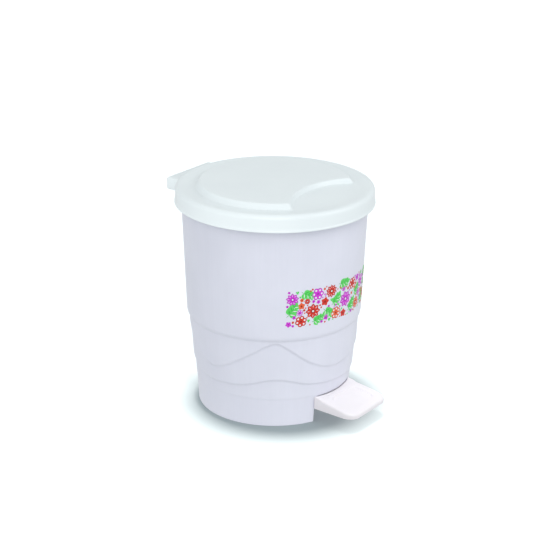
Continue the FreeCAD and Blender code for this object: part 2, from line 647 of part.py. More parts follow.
a1, m1, b1 = corner(foot, ex * -1, up, rb)
a2, m2, b2 = corner(head, up, ex, rb)
path = Part.Wire([
    Part.LineSegment(foot + ex * hook, a1).toShape(),
    Part.Arc(a1, m1, b1).toShape(),
    Part.LineSegment(b1, a2).toShape(),
    Part.Arc(a2, m2, b2).toShape(),
    Part.LineSegment(b2, head + ex * hook).toShape(),
])
section = Part.Wire([Part.Circle(foot + ex * hook, ex, VAL["rod_radius"]).toShape()])
rod = doc.addObject("Part::Feature", "lift_rod_wire")
rod.Shape = path.makePipeShell([section], True, False)
done(rod, "lift_rod")

rcaps = []
for nm, pt in (("low", foot), ("high", head)):
    c = cyl("rod_cap_" + nm, 3.1, 2.2, 8.0, pt.y, pt.z, "x")
    c = fillet("rod_cap_soft_" + nm, c, 0.7, lambda e: e.BoundBox.XLength < 0.01 and e.BoundBox.XMin > 10)
    rcaps.append(cut("rod_cap_bored_" + nm, c, cyl("rod_cap_bore_" + nm, D("rod_radius"), 6, 6, pt.y, pt.z, "x")))
done(fuse("rod_end_caps_final", rcaps), "rod_end_caps")

# ---------------------------------------------------------------- bushes and cover
low = fuse("lower_bush_raw", [cyl("lower_bush_barrel", 3.4, 4.4, 0, lean_at.y, 29.0), cyl("lower_bush_flange", 4.4, 1.2, 0, lean_at.y, D("floor_high"))])
low = cut("lower_bush_final", low, lean_cyl("lower_bush_bore", D("rod_radius") + D("rod_fit"), -10, 10))
done(low, "lower_rod_bush")

ub = lean_box("upper_bush_block", -6.2, 6.2, -3.2, 3.2, 150, 162)
ub = fillet("upper_bush_soft", ub, 0.6, lambda e: e.BoundBox.XLength > 8 and e.BoundBox.YMin < lean_at.y + 162 * math.tan(math.radians(VAL["rod_lean"])) - 1.5)
ub = cut("upper_bush_final", ub, lean_cyl("upper_bush_bore", D("rod_radius") + D("rod_fit"), 140, 170))
done(ub, "upper_rod_bush")

cover = fuse("rod_cover_raw", [lean_box("cover_front", -10.4, 10.4, -5.2, -3.5, 14, 187), lean_box("cover_lip_right", 8.2, 10.4, -5.2, 1.4, 14, 187), lean_box("cover_lip_left", -10.4, -8.2, -5.2, 1.4, 14, 187), lean_box("cover_top", -10.4, 10.4, -5.2, -2.4, 187, 188.6)])
cover = fillet("rod_cover_final", cover, 1.0, lambda e: e.BoundBox.ZLength > 100 and (abs(e.BoundBox.XMin - 10.4) < 0.01 or abs(e.BoundBox.XMin + 10.4) < 0.01) and e.valueAt(e.FirstParameter).y < lean_at.y + (e.valueAt(e.FirstParameter).z - 32) * math.tan(math.radians(VAL["rod_lean"])) - 3)
done(cover, "rod_cover")

# ---------------------------------------------------------------- pedal
tan_s = math.tan(math.radians(VAL["pedal_slope"]))
F, E = D("pedal_front"), D("pedal_edge_z")


def tread_top(drop):
    """Side outline of everything under the tread's sloping face, lowered by drop."""
    def z(y):
        return E - drop + (F + y) * tan_s
    return [(-150, 0), (-150, z(-150)), (-60, z(-60)), (-60, 0)]


def tread_plan(inset):
    i = inset
    return [(-D("pedal_half_in") + i, -77 - i), (-D("pedal_half_out") + i, -F + i), (D("pedal_half_out") - i, -F + i), (D("pedal_half_in") - i, -77 - i)]


def tread_block(name, inset, drop, z0):
    plan = sketch_solid(name + "_plan", "xy", tread_plan(inset), z0, 40)
    plan = fillet(name + "_corners", plan, VAL["pedal_corner"] - inset, lambda e: upright(e) and e.BoundBox.YMin < -100)
    side = sketch_solid(name + "_side", "yz", tread_top(drop), -60, 120)
    return common(name, plan, side)


tread = tread_block("tread_outside", 0.0, 0.0, D("pedal_low"))
# the tread stops just clear of the round body
tread = cut("tread_fitted", tread, cyl("tread_gap", 88.2, 60, 0, 0, 0))
doc.recompute()
hollow = tread_block("tread_inside", VAL["pedal_wall"], VAL["pedal_wall"], D("pedal_low") - 5)
hollow = cut("tread_hollow", hollow, cyl("tread_back_wall", 88.2 + VAL["pedal_wall"], 60, 0, 0, 0))
tread = cut("tread_shell", tread, hollow)
# shallow recess in the middle of the tread
rplan = sketch_solid("recess_plan", "xy", [(-22.5, -94.5), (-24.0, -F + 10.5), (24.0, -F + 10.5), (22.5, -94.5)], 10, 40)
rplan = fillet("recess_corners", rplan, 7.0, upright)
rside = sketch_solid("recess_side", "yz", [(-150, E - 0.7 + (F - 150) * tan_s), (-150, 60), (-60, 60), (-60, E - 0.7 + (F - 60) * tan_s)], -60, 120)
tread = cut("tread_recessed", tread, common("tread_recess", rplan, rside))

# neck through the opening, hub and lever
NH = 27.6
neck_pts = [(-91.0, D("pedal_low")), (-91.0, E + (F - 91.0) * tan_s - 0.6), (-86.0, 29.4), (-70.0, 28.4), (PY, PZ + D("hub_radius") - 0.2), (PY + 3, PZ), (PY + 3, D("pedal_low"))]
neck = sketch_solid("neck_block", "yz", neck_pts, -NH, 2 * NH)
neck_in = sketch_solid("neck_room", "yz", [(-88.6, 10), (-88.6, 27.0), (-86.0, 26.8), (-70.0, 25.8), (PY - 8, PZ + 2.6), (PY - 8, 10)], -NH + 2.4, 2 * NH - 4.8)
neck_mid = box("neck_mid_rib", -1.2, 1.2, -90, PY, D("pedal_low"), 24)
hub = cyl("pedal_hub", D("hub_radius"), 2 * D("hub_half"), -D("hub_half"), PY, PZ, "x")
l0y, l0z = VAL["pedal_pivot_y"], VAL["pedal_pivot_z"] - 1.0
ly, lz = FY - l0y, FZ - l0z
ll = math.hypot(ly, lz)
uy, uz = ly / ll, lz / ll


def along(t, n):
    """A point t along the lever from the pivot and n above its middle line."""
    return (l0y + uy * t - uz * n, l0z + uz * t + uy * n)


bar = sketch_solid("lever_bar", "yz", [along(0, -4.2), along(ll, -4.2), along(ll, 4.2), along(0, 4.2)], -D("eye_out"), 2 * D("eye_out"))
bar_end = cyl("lever_bar_end", 4.2, 2 * D("eye_out"), -D("eye_out"), FY, FZ, "x")
bar_room = sketch_solid("lever_room", "yz", [along(4, -9), along(ll - 21, -9), along(ll - 21, 1.8), along(4, 1.8)], -D("eye_out") + 2.4, 2 * D("eye_out") - 4.8)
fork = sketch_solid("lever_fork", "yz", [along(ll - 15, -9), along(ll + 8, -9), along(ll + 8, 9), along(ll - 15, 9)], -D("eye_in"), 2 * D("eye_in"))
pedal = fuse("pedal_solid", [tread, cut("neck_shell", neck, neck_in), neck_mid, bar, bar_end, hub])
foot_slot = slot("foot_slot", FY + 0.2, FZ, math.degrees(math.atan2(lz, ly)), 0.55, VAL["rod_radius"] + 0.3, 3, 9)
pedal = cut("pedal_final", pedal, fuse("pedal_cutters", [bar_room, fork, foot_slot, cyl("hub_bore", D("pedal_pin_radius"), 80, -40, PY, PZ, "x")]))
done(pedal, "pedal")

pp = new_body("pedal_pivot_pin")
sk = body_sketch(pp, "pivot_pin_circle", "YZ_Plane", offset=-34.6)
circle(sk, PY, PZ, D("pedal_pin_radius"))
p = pad(pp, "pivot_pin_bar", sk, 69.2)
dress(pp, "Chamfer", "pivot_pin_ends", p, 0.4, lambda e: e.BoundBox.XLength < 0.01)
done(pp, "pedal_pivot_pin")

clips = []
for side, x0 in (("right", 32.35), ("left", -34.15)):
    c = cyl("clip_" + side, 4.9, 1.8, x0, PY, PZ, "x")
    clips.append(cut("clip_bored_" + side, c, cyl("clip_bore_" + side, D("pedal_pin_radius"), 6, x0 - 2, PY, PZ, "x")))
done(fuse("pedal_pin_clips_final", clips), "pedal_pin_clips")

# ---------------------------------------------------------------- pedal bearings
for side, s in (("right", 1), ("left", -1)):
    x0, x1 = (28.0, 32.0) if s > 0 else (-32.0, -28.0)
    cheek = box("cheek_" + side, x0, x1, PY - 8, PY + 8, 13.6, D("floor_low"))
    cheek = fillet("cheek_round_" + side, cheek, 7.6, lambda e: abs(e.BoundBox.ZMin - 13.6) < 0.01 and abs(e.BoundBox.ZMax - 13.6) < 0.01 and e.BoundBox.XLength > 3)
    f0, f1 = (31.0, 43.0) if s > 0 else (-43.0, -31.0)
    flange = box("flange_" + side, f0, f1, PY - 9, PY + 9, D("floor_low") - 3.0, D("floor_low"))
    flange = fillet("flange_round_" + side, flange, 3.0, lambda e, s=s: upright(e) and abs(e.BoundBox.XMin) > 40)
    block = fuse("bearing_raw_" + side, [cheek, flange])
    holes = [cyl("bearing_bore_" + side, D("pedal_pin_radius") + D("pedal_fit"), 12, (26 if s > 0 else -38), PY, PZ, "x")]
    holes += [cyl("flange_hole_%s_%d" % (side, k), 1.7, 8, s * BX, PY + k * BY, 24) for k in (-1, 1)]
    done(cut("bearing_final_" + side, block, fuse("bearing_holes_" + side, holes)), side + "_pedal_bearing")

bs = [pan_screw("bearing_screw_%d_%d" % (sx + 1, sy + 1), sx * BX, PY + sy * BY, D("floor_low") - 3.0, 1.5, 8.6, 2.9, 1.9) for sx in (-1, 1) for sy in (-1, 1)]
done(fuse("bearing_screws_final", bs), "bearing_screws")

# ---------------------------------------------------------------- inner bucket, handle and grip
B0, B1, BT, BF, BW, BR = D("bucket_low"), D("bucket_high"), D("bucket_top_radius"), D("bucket_foot_radius"), D("bucket_wall"), D("bucket_rim_radius")
bucket = new_body("bucket_turned")
revolve(bucket, "bucket_profile", [
    (0, 41.0), (67.2, 41.0), (67.8, B0), (BF, B0), (BF + 0.4, B0 + 2.0), (BT, B1 - 1.8), (BR - 1.6, B1 - 1.8), (BR - 1.6, B1 - 7.5), (BR, B1 - 7.5), (BR, B1 - 0.8), (BR - 0.8, B1),
    (BT - BW + 0.8, B1), (BT - BW, B1 - 0.8), (BF - BW + 0.5, B0 + 4.0), (69.4, B0 + 2.2), (68.6, 42.0), (67.8, 42.8), (0, 42.8)])
lugs = []
for side, s in (("right", 1), ("left", -1)):
    x0, x1 = (89.5, 92.5) if s > 0 else (-92.5, -89.5)
    lug = box("lug_" + side, x0, x1, -5, 5, B1 - 1.0, D("bail_high") + 4.2)
    lugs.append(fillet("lug_round_" + side, lug, 4.4, lambda e: e.BoundBox.ZMin > VAL["bail_high"] + 4 and e.BoundBox.XLength > 2))
bucket_a = fuse("bucket_lugged", [bucket] + lugs)
bucket_b = cut("inner_bucket_final", bucket_a, fuse("bucket_cutters", [cyl("lug_bore", D("bail_radius") + 0.08, 200, -100, 0, D("bail_high"), "x"), box("bucket_back_gap", -12.6, 12.6, 85.6, 110, B1 - 9, B1 + 2)]))
done(bucket_b, "inner_bucket")

bz = VAL["bail_high"]
corners = [Vector(94.6, 0, bz), Vector(86.5, 0, bz), Vector(80.5, -46, bz), Vector(42, -72, bz), Vector(-42, -72, bz), Vector(-80.5, -46, bz), Vector(-86.5, 0, bz), Vector(-94.6, 0, bz)]
radii = [0, 3.6, 26, 24, 24, 26, 3.6, 0]


def rounded_path(pts, rs):
    """Straight runs joined by tangent arcs."""
    edges, last = [], pts[0]
    for i in range(1, len(pts) - 1):
        p, a, b = pts[i], pts[i - 1], pts[i + 1]
        d1, d2 = (p - a).normalize(), (b - p).normalize()
        turn = d1.getAngle(d2)
        cutback = rs[i] * math.tan(turn / 2)
        s, e = p - d1 * cutback, p + d2 * cutback
        mid_dir = (d2 - d1).normalize()
        centre = p + mid_dir * (rs[i] / math.cos(turn / 2))
        m = centre - mid_dir * rs[i]
        edges.append(Part.LineSegment(last, s).toShape())
        edges.append(Part.Arc(s, m, e).toShape())
        last = e
    edges.append(Part.LineSegment(last, pts[-1]).toShape())
    return Part.Wire(edges)


bail_path = rounded_path(corners, radii)
bail = doc.addObject("Part::Feature", "bail_wire")
bail.Shape = bail_path.makePipeShell([Part.Wire([Part.Circle(corners[0], Vector(1, 0, 0), VAL["bail_radius"]).toShape()])], True, False)
done(bail, "bucket_bail")

grip = new_body("bail_grip")
sk = body_sketch(grip, "grip_ring", "YZ_Plane", offset=-24)
circle(sk, -72, D("bail_high"), D("grip_radius"))
circle(sk, -72, D("bail_high"), D("bail_radius") + 0.05)
p = pad(grip, "grip_tube", sk, 48.0)
dress(grip, "Fillet", "grip_ends", p, 1.2, lambda e: e.BoundBox.XLength < 0.01 and e.BoundBox.ZLength > 6)
done(grip, "bail_grip")

# ---------------------------------------------------------------- check and write
doc.recompute()
bad = []
for o in doc.Objects:
    if "Invalid" in o.State or "Error" in o.State:
        bad.append("%s: %s" % (o.Name, o.State))
for label, o in PARTS:
    s = o.Shape
    if s.isNull() or not s.isValid() or not s.Solids:
        bad.append("%s: shape is null or not valid" % label)
if bad:
    print("\n".join(bad))
    sys.exit(1)
os.makedirs("parts", exist_ok=True)
for label, o in PARTS:
    s = o.Shape
    b = s.BoundBox
    print("%-22s solids %d  volume %9.0f  x %7.1f %7.1f  y %7.1f %7.1f  z %7.1f %7.1f" % (label, len(s.Solids), s.Volume, b.XMin, b.XMax, b.YMin, b.YMax, b.ZMin, b.ZMax))
    s.exportStep("parts/%s.step" % label)
print("parts:", len(PARTS))
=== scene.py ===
import math
import random

import bmesh
import bpy
import numpy as np
from mathutils import Matrix, Vector


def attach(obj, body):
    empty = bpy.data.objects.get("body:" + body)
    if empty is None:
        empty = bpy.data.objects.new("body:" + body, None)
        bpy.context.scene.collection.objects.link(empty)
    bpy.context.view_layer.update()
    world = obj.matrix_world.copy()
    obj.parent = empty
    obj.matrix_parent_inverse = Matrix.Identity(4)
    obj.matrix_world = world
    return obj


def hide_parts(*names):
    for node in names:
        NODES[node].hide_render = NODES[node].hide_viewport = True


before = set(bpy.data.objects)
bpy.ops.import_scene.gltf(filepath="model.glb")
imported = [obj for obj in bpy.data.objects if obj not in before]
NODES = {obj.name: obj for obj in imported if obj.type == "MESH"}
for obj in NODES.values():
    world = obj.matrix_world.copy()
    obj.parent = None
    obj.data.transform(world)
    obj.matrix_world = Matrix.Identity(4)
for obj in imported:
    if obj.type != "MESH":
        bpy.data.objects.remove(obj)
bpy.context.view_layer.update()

MM = 0.001

# ------------------------------------------------------------------ sizes, in millimetres, as in the CAD source
LIP_R, SKIRT_R, LID_LOW, RIM_Z, CROWN_Z, LID_W = 110.3, 109.4, 233.9, 252.6, 257.6, 2.2
FOOT_R, TOP_R, STEP_R, STEP_C = 88.2, 81.8, 92.5, 136.3
HY, HZ = 113.2, 238.6
HOUSE_Y, HOUSE_X, HOUSE_TOP, HOUSE_LOW = 123.8, 38.0, 246.0, 232.0
WALL, BODY_TOP, BODY_HIGH = 2.2, 103.2, 250.1
FLOOR_LOW, FLOOR_HIGH, GAP_HALF = 30.8, 33.0, 31.6
PY, PZ = -44.7, 22.0
PED_FRONT, PED_IN, PED_OUT, PED_LOW, PED_EDGE = 133.2, 33.2, 35.8, 16.8, 22.0
PED_TAN = math.tan(math.radians(9.5))
FY, FZ = 77.33, 5.6
LEAN = math.radians(4.91)


# ------------------------------------------------------------------ mesh helpers
class Build:
    """Collects rings of points and the faces between them. Lengths are millimetres."""

    def __init__(self):
        self.v, self.f, self.m, self.n = [], [], [], 0

    def add(self, pts):
        pts = np.asarray(pts, float).reshape(-1, 3)
        self.v.append(pts)
        start = self.n
        self.n += len(pts)
        return start

    def face(self, idx, mat=0):
        self.f.append(tuple(int(i) for i in idx))
        self.m.append(mat)

    def bridge(self, a, b, count, closed=True, skip=None, mat=0):
        last = count if closed else count - 1
        for k in range(last):
            if skip is not None and skip[k]:
                continue
            j = (k + 1) % count
            self.f.append((a + k, a + j, b + j, b + k))
            self.m.append(mat)

    def fan(self, ring, count, centre, mat=0):
        c = self.add([centre])
        for k in range(count):
            self.f.append((ring + k, ring + (k + 1) % count, c))
            self.m.append(mat)

    def merge(self, other):
        off = self.n
        for p in other.v:
            self.add(p)
        for f, m in zip(other.f, other.m):
            self.f.append(tuple(i + off for i in f))
            self.m.append(m)

    def object(self, name, mats, sharp=40.0, fix=True, smooth=True):
        pts = np.concatenate(self.v) * MM
        me = bpy.data.meshes.new(name)
        me.from_pydata(pts.tolist(), [], self.f)
        for mt in mats:
            me.materials.append(mt)
        if any(self.m):
            me.polygons.foreach_set("material_index", self.m)
        bm = bmesh.new()
        bm.from_mesh(me)
        if fix:
            bmesh.ops.dissolve_degenerate(bm, dist=2e-6, edges=bm.edges)
            bmesh.ops.recalc_face_normals(bm, faces=bm.faces)
        lim = math.radians(sharp)
        for e in bm.edges:
            if len(e.link_faces) == 2:
                a, b = e.link_faces
                e.smooth = a.normal.dot(b.normal) > math.cos(lim)
        for f in bm.faces:
            f.smooth = smooth
        bm.to_mesh(me)
        bm.free()
        me.update()
        ob = bpy.data.objects.new(name, me)
        bpy.context.scene.collection.objects.link(ob)
        return ob


def polar(r, th, z):
    """Points on a circle about Z; th in degrees from the front (-Y) towards +X."""
    t = np.radians(th)
    r = np.broadcast_to(np.asarray(r, float), t.shape)
    z = np.broadcast_to(np.asarray(z, float), t.shape)
    return np.stack([r * np.sin(t), -r * np.cos(t), z], axis=1)


def smoothstep(t):
    t = np.clip(t, 0.0, 1.0)
    return t * t * (3 - 2 * t)


def smin(a, b, k):
    h = np.clip(0.5 + 0.5 * (b - a) / k, 0.0, 1.0)
    return b * (1 - h) + a * h - k * h * (1 - h)


def smax(a, b, k):
    return -smin(-a, -b, k)


def periodic(points, th):
    """A smooth periodic curve through (angle, value) points, read at angles th."""
    a = np.array([p[0] for p in points], float)
    v = np.array([p[1] for p in points], float)
    n = len(a)
    ax = np.concatenate([[a[-1] - 360], a, [a[0] + 360, a[1] + 360]])
    vx = np.concatenate([[v[-1]], v, [v[0], v[1]]])
    slope = (vx[2:] - vx[:-2]) / (ax[2:] - ax[:-2])
    slope = np.concatenate([[slope[n - 1]], slope, [slope[1]]])[: n + 3]
    t = (np.asarray(th, float) - a[0]) % 360 + a[0]
    i = np.clip(np.searchsorted(ax, t, side="right") - 1, 0, n + 1)
    h = ax[i + 1] - ax[i]
    u = (t - ax[i]) / h
    m0, m1 = slope[i] * h, slope[np.minimum(i + 1, n + 1)] * h
    return (2 * u**3 - 3 * u**2 + 1) * vx[i] + (u**3 - 2 * u**2 + u) * m0 + (-2 * u**3 + 3 * u**2) * vx[i + 1] + (u**3 - u**2) * m1


def prism(name_or_build, poly, axis, a, b, bevel=0.4, segs=2, mat=0):
    """A solid between two planes with its edges rounded. poly lists the two other coordinates."""
    bm = bmesh.new()
    ends = []
    for w in (a, b):
        ring = []
        for p, q in poly:
            co = {"x": (w, p, q), "y": (p, w, q), "z": (p, q, w)}[axis]
            ring.append(bm.verts.new(co))
        ends.append(ring)
    bm.faces.new(ends[0])
    bm.faces.new(list(reversed(ends[1])))
    n = len(poly)
    for k in range(n):
        j = (k + 1) % n
        bm.faces.new((ends[0][k], ends[1][k], ends[1][j], ends[0][j]))
    bmesh.ops.recalc_face_normals(bm, faces=bm.faces)
    if bevel:
        lim = math.cos(math.radians(25))
        es = [e for e in bm.edges if len(e.link_faces) == 2 and e.link_faces[0].normal.dot(e.link_faces[1].normal) < lim]
        bmesh.ops.bevel(bm, geom=es, offset=bevel, offset_type="OFFSET", segments=segs, profile=0.5, affect="EDGES", clamp_overlap=True)
    out = name_or_build
    start = out.add([tuple(v.co) for v in bm.verts])
    bm.verts.index_update()
    for f in bm.faces:
        out.face([start + v.index for v in f.verts], mat)
    bm.free()


def block(out, x0, x1, y0, y1, z0, z1, bevel=0.4, mat=0, turn=None):
    """A box with rounded edges, laid by an optional matrix given in millimetres."""
    tmp = Build()
    prism(tmp, [(x0, y0), (x1, y0), (x1, y1), (x0, y1)], "z", z0, z1, bevel, 2, mat)
    if turn is not None:
        pts = np.concatenate(tmp.v)
        m = np.array(turn)
        tmp.v = [pts @ m[:3, :3].T + m[:3, 3]]
    out.merge(tmp)


def turned(out, profile, n=48, centre=(0, 0, 0), axis="z", mat=0, closed_ends=True):
    """A solid of revolution from an open (radius, height) profile, capped at both ends."""
    th = np.arange(n) * 360.0 / n
    rings = []
    for r, h in profile:
        p = polar(max(r, 1e-4), th, h)
        if axis == "x":
            p = np.stack([p[:, 2], p[:, 0], p[:, 1]], axis=1)
        elif axis == "y":
            p = np.stack([p[:, 0], p[:, 2], p[:, 1]], axis=1)
        rings.append(out.add(p + np.array(centre, float)))
    for a, b in zip(rings, rings[1:]):
        out.bridge(a, b, n, mat=mat)
    if closed_ends:
        for ring, (r, h) in ((rings[0], profile[0]), (rings[-1], profile[-1])):
            c = {"z": (0, 0, h), "x": (h, 0, 0), "y": (0, h, 0)}[axis]
            out.fan(ring, n, tuple(np.array(c, float) + np.array(centre, float)), mat)


def swept(out, profile, a0, a1, n, mat=0):
    """A closed (radius, height) profile carried round Z from angle a0 to a1, with its ends closed."""
    th = np.linspace(a0, a1, n)
    rings = []
    for t in th:
        p = np.array([polar(r, np.array([t]), z)[0] for r, z in profile])
        rings.append(out.add(p))
    for a, b in zip(rings, rings[1:]):
        out.bridge(a, b, len(profile), mat=mat)
    out.face(range(rings[0], rings[0] + len(profile)), mat)
    out.face(reversed(range(rings[-1], rings[-1] + len(profile))), mat)


def arc(cx, cy, r, a0, a1, n):
    return [(cx + r * math.cos(math.radians(a0 + (a1 - a0) * i / n)), cy + r * math.sin(math.radians(a0 + (a1 - a0) * i / n))) for i in range(n + 1)]


# ------------------------------------------------------------------ materials
def tree(name):
    m = bpy.data.materials.new(name)
    m.use_nodes = True
    nt = m.node_tree
    nt.nodes.clear()
    out = nt.nodes.new("ShaderNodeOutputMaterial")
    sh = nt.nodes.new("ShaderNodeBsdfPrincipled")
    nt.links.new(sh.outputs["BSDF"], out.inputs["Surface"])
    return m, nt, sh


def node(nt, kind, **kw):
    n = nt.nodes.new(kind)
    for k, v in kw.items():
        setattr(n, k, v)
    return n


def noise(nt, vec, scale, detail=3.0, rough=0.5):
    n = node(nt, "ShaderNodeTexNoise")
    n.inputs["Scale"].default_value = scale
    n.inputs["Detail"].default_value = detail
    n.inputs["Roughness"].default_value = rough
    nt.links.new(vec, n.inputs["Vector"])
    return n.outputs["Fac"]


def ramp(nt, fac, stops):
    n = node(nt, "ShaderNodeValToRGB")
    els = n.color_ramp.elements
    while len(els) > len(stops):
        els.remove(els[-1])
    while len(els) < len(stops):
        els.new(0.5)
    for e, (p, c) in zip(els, stops):
        e.position = p
        e.color = (*c, 1.0) if len(c) == 3 else c
    nt.links.new(fac, n.inputs["Fac"])
    return n.outputs["Color"]


def to_range(nt, fac, a, b, lo=0.0, hi=1.0):
    n = node(nt, "ShaderNodeMapRange")
    n.inputs["From Min"].default_value = lo
    n.inputs["From Max"].default_value = hi
    n.inputs["To Min"].default_value = a
    n.inputs["To Max"].default_value = b
    nt.links.new(fac, n.inputs["Value"])
    return n.outputs["Result"]


def mix_colour(nt, fac, a, b, blend="MIX"):
    n = node(nt, "ShaderNodeMix", data_type="RGBA", blend_type=blend)
    ins = [s for s in n.inputs if s.type == "RGBA"]
    fac_in = n.inputs[0]
    if isinstance(fac, (int, float)):
        fac_in.default_value = fac
    else:
        nt.links.new(fac, fac_in)
    for s, v in zip(ins, (a, b)):
        if isinstance(v, (tuple, list)):
            s.default_value = (*v[:3], 1.0)
        else:
            nt.links.new(v, s)
    return [o for o in n.outputs if o.type == "RGBA"][0]


def maths(nt, op, a, b=0.0, c=None):
    n = node(nt, "ShaderNodeMath", operation=op)
    for s, v in zip(n.inputs, (a, b, c)):
        if v is None:
            continue
        if isinstance(v, (int, float)):
            s.default_value = v
        else:
            nt.links.new(v, s)
    return n.outputs[0]


def bump(nt, sh, height, strength, distance):
    n = node(nt, "ShaderNodeBump")
    n.inputs["Strength"].default_value = strength
    n.inputs["Distance"].default_value = distance
    nt.links.new(height, n.inputs["Height"])
    nt.links.new(n.outputs["Normal"], sh.inputs["Normal"])


def plastic(name, light, dark, rough=(0.3, 0.42), streak=0.0, grain=1500.0, grain_depth=0.00002, sub=0.0, coat=0.0, level=0.5, dirt=None):
    """Moulded plastic: slow colour drift, faint flow streaks, fine skin texture and small rubbed spots."""
    m, nt, sh = tree(name)
    tc = node(nt, "ShaderNodeTexCoord").outputs["Object"]
    slow = noise(nt, tc, 16.0, 3.0, 0.55)
    col = ramp(nt, slow, [(0.32, dark), (0.68, light)])
    sep = node(nt, "ShaderNodeSeparateXYZ")
    nt.links.new(tc, sep.inputs[0])
    if streak:
        flat = node(nt, "ShaderNodeVectorMath", operation="MULTIPLY")
        nt.links.new(tc, flat.inputs[0])
        flat.inputs[1].default_value = (1.0, 1.0, 0.0)
        unit = node(nt, "ShaderNodeVectorMath", operation="NORMALIZE")
        nt.links.new(flat.outputs[0], unit.inputs[0])
        turn = node(nt, "ShaderNodeSeparateXYZ")
        nt.links.new(unit.outputs[0], turn.inputs[0])
        cmb = node(nt, "ShaderNodeCombineXYZ")
        nt.links.new(turn.outputs["X"], cmb.inputs["X"])
        nt.links.new(turn.outputs["Y"], cmb.inputs["Y"])
        nt.links.new(maths(nt, "MULTIPLY", sep.outputs["Z"], 0.55), cmb.inputs["Z"])
        lines = noise(nt, cmb.outputs[0], 34.0, 3.0, 0.6)
        wide = noise(nt, cmb.outputs[0], 9.0, 2.0, 0.5)
        both = maths(nt, "ADD", maths(nt, "MULTIPLY", lines, 0.6), maths(nt, "MULTIPLY", wide, 0.4))
        k = to_range(nt, both, 1.0 - streak, 1.0 + streak * 0.4, 0.38, 0.62)
        n = node(nt, "ShaderNodeVectorMath", operation="SCALE")
        nt.links.new(col, n.inputs[0])
        nt.links.new(k, n.inputs["Scale"])
        col = n.outputs[0]
    if dirt:
        spots = to_range(nt, noise(nt, tc, 95.0, 5.0, 0.62), 0.0, 1.0, 0.62, 0.78)
        col = mix_colour(nt, maths(nt, "MULTIPLY", spots, dirt[3]), col, dirt[:3])
    nt.links.new(col, sh.inputs["Base Color"])
    fine = noise(nt, tc, 240.0, 4.0, 0.6)
    nt.links.new(to_range(nt, fine, rough[0], rough[1], 0.3, 0.7), sh.inputs["Roughness"])
    sh.inputs["IOR"].default_value = 1.49
    sh.inputs["Specular IOR Level"].default_value = level
    if sub:
        sh.inputs["Subsurface Weight"].default_value = sub
        sh.inputs["Subsurface Radius"].default_value = (1.0, 0.95, 0.9)
        sh.inputs["Subsurface Scale"].default_value = 0.003
    if coat:
        sh.inputs["Coat Weight"].default_value = coat
        sh.inputs["Coat Roughness"].default_value = 0.22
    skin = noise(nt, tc, grain, 2.0, 0.5)
    wavy = noise(nt, tc, 42.0, 2.0, 0.5)
    both = maths(nt, "ADD", maths(nt, "MULTIPLY", skin, 0.35), wavy)
    bump(nt, sh, both, 0.35, grain_depth * 4)
    return m


def metal(name, light, dark, rough, stretch=(1, 1, 1), scale=600.0, depth=0.00002, tone=0.15):
    """Plated steel: drawn lines, a cloudy plating and small darker flecks."""
    m, nt, sh = tree(name)
    tc = node(nt, "ShaderNodeTexCoord").outputs["Object"]
    mp = node(nt, "ShaderNodeMapping")
    mp.inputs["Scale"].default_value = stretch
    nt.links.new(tc, mp.inputs["Vector"])
    lines = noise(nt, mp.outputs[0], scale, 4.0, 0.6)
    cloud = noise(nt, tc, 130.0, 3.0, 0.5)
    col = mix_colour(nt, to_range(nt, lines, 0.0, 1.0, 0.35, 0.65), dark, light)
    col = mix_colour(nt, to_range(nt, cloud, 0.0, tone, 0.4, 0.7), col, (0.36, 0.37, 0.4))
    nt.links.new(col, sh.inputs["Base Color"])
    sh.inputs["Metallic"].default_value = 1.0
    nt.links.new(to_range(nt, lines, rough[0], rough[1], 0.3, 0.7), sh.inputs["Roughness"])
    bump(nt, sh, lines, 0.3, depth)
    return m


def ink(name, full, thin, rough=(0.32, 0.45)):
    """A printed colour: ink lies a little uneven, with small lighter specks."""
    m, nt, sh = tree(name)
    tc = node(nt, "ShaderNodeTexCoord").outputs["Object"]
    blot = noise(nt, tc, 420.0, 4.0, 0.6)
    speck = noise(nt, tc, 2600.0, 2.0, 0.5)
    fac = maths(nt, "ADD", maths(nt, "MULTIPLY", blot, 0.6), maths(nt, "MULTIPLY", speck, 0.4))
    nt.links.new(ramp(nt, fac, [(0.36, thin), (0.56, full)]), sh.inputs["Base Color"])
    nt.links.new(to_range(nt, blot, rough[0], rough[1], 0.3, 0.7), sh.inputs["Roughness"])
    bump(nt, sh, fac, 0.15, 0.00002)
    sh.inputs["Specular IOR Level"].default_value = 0.3
    return m


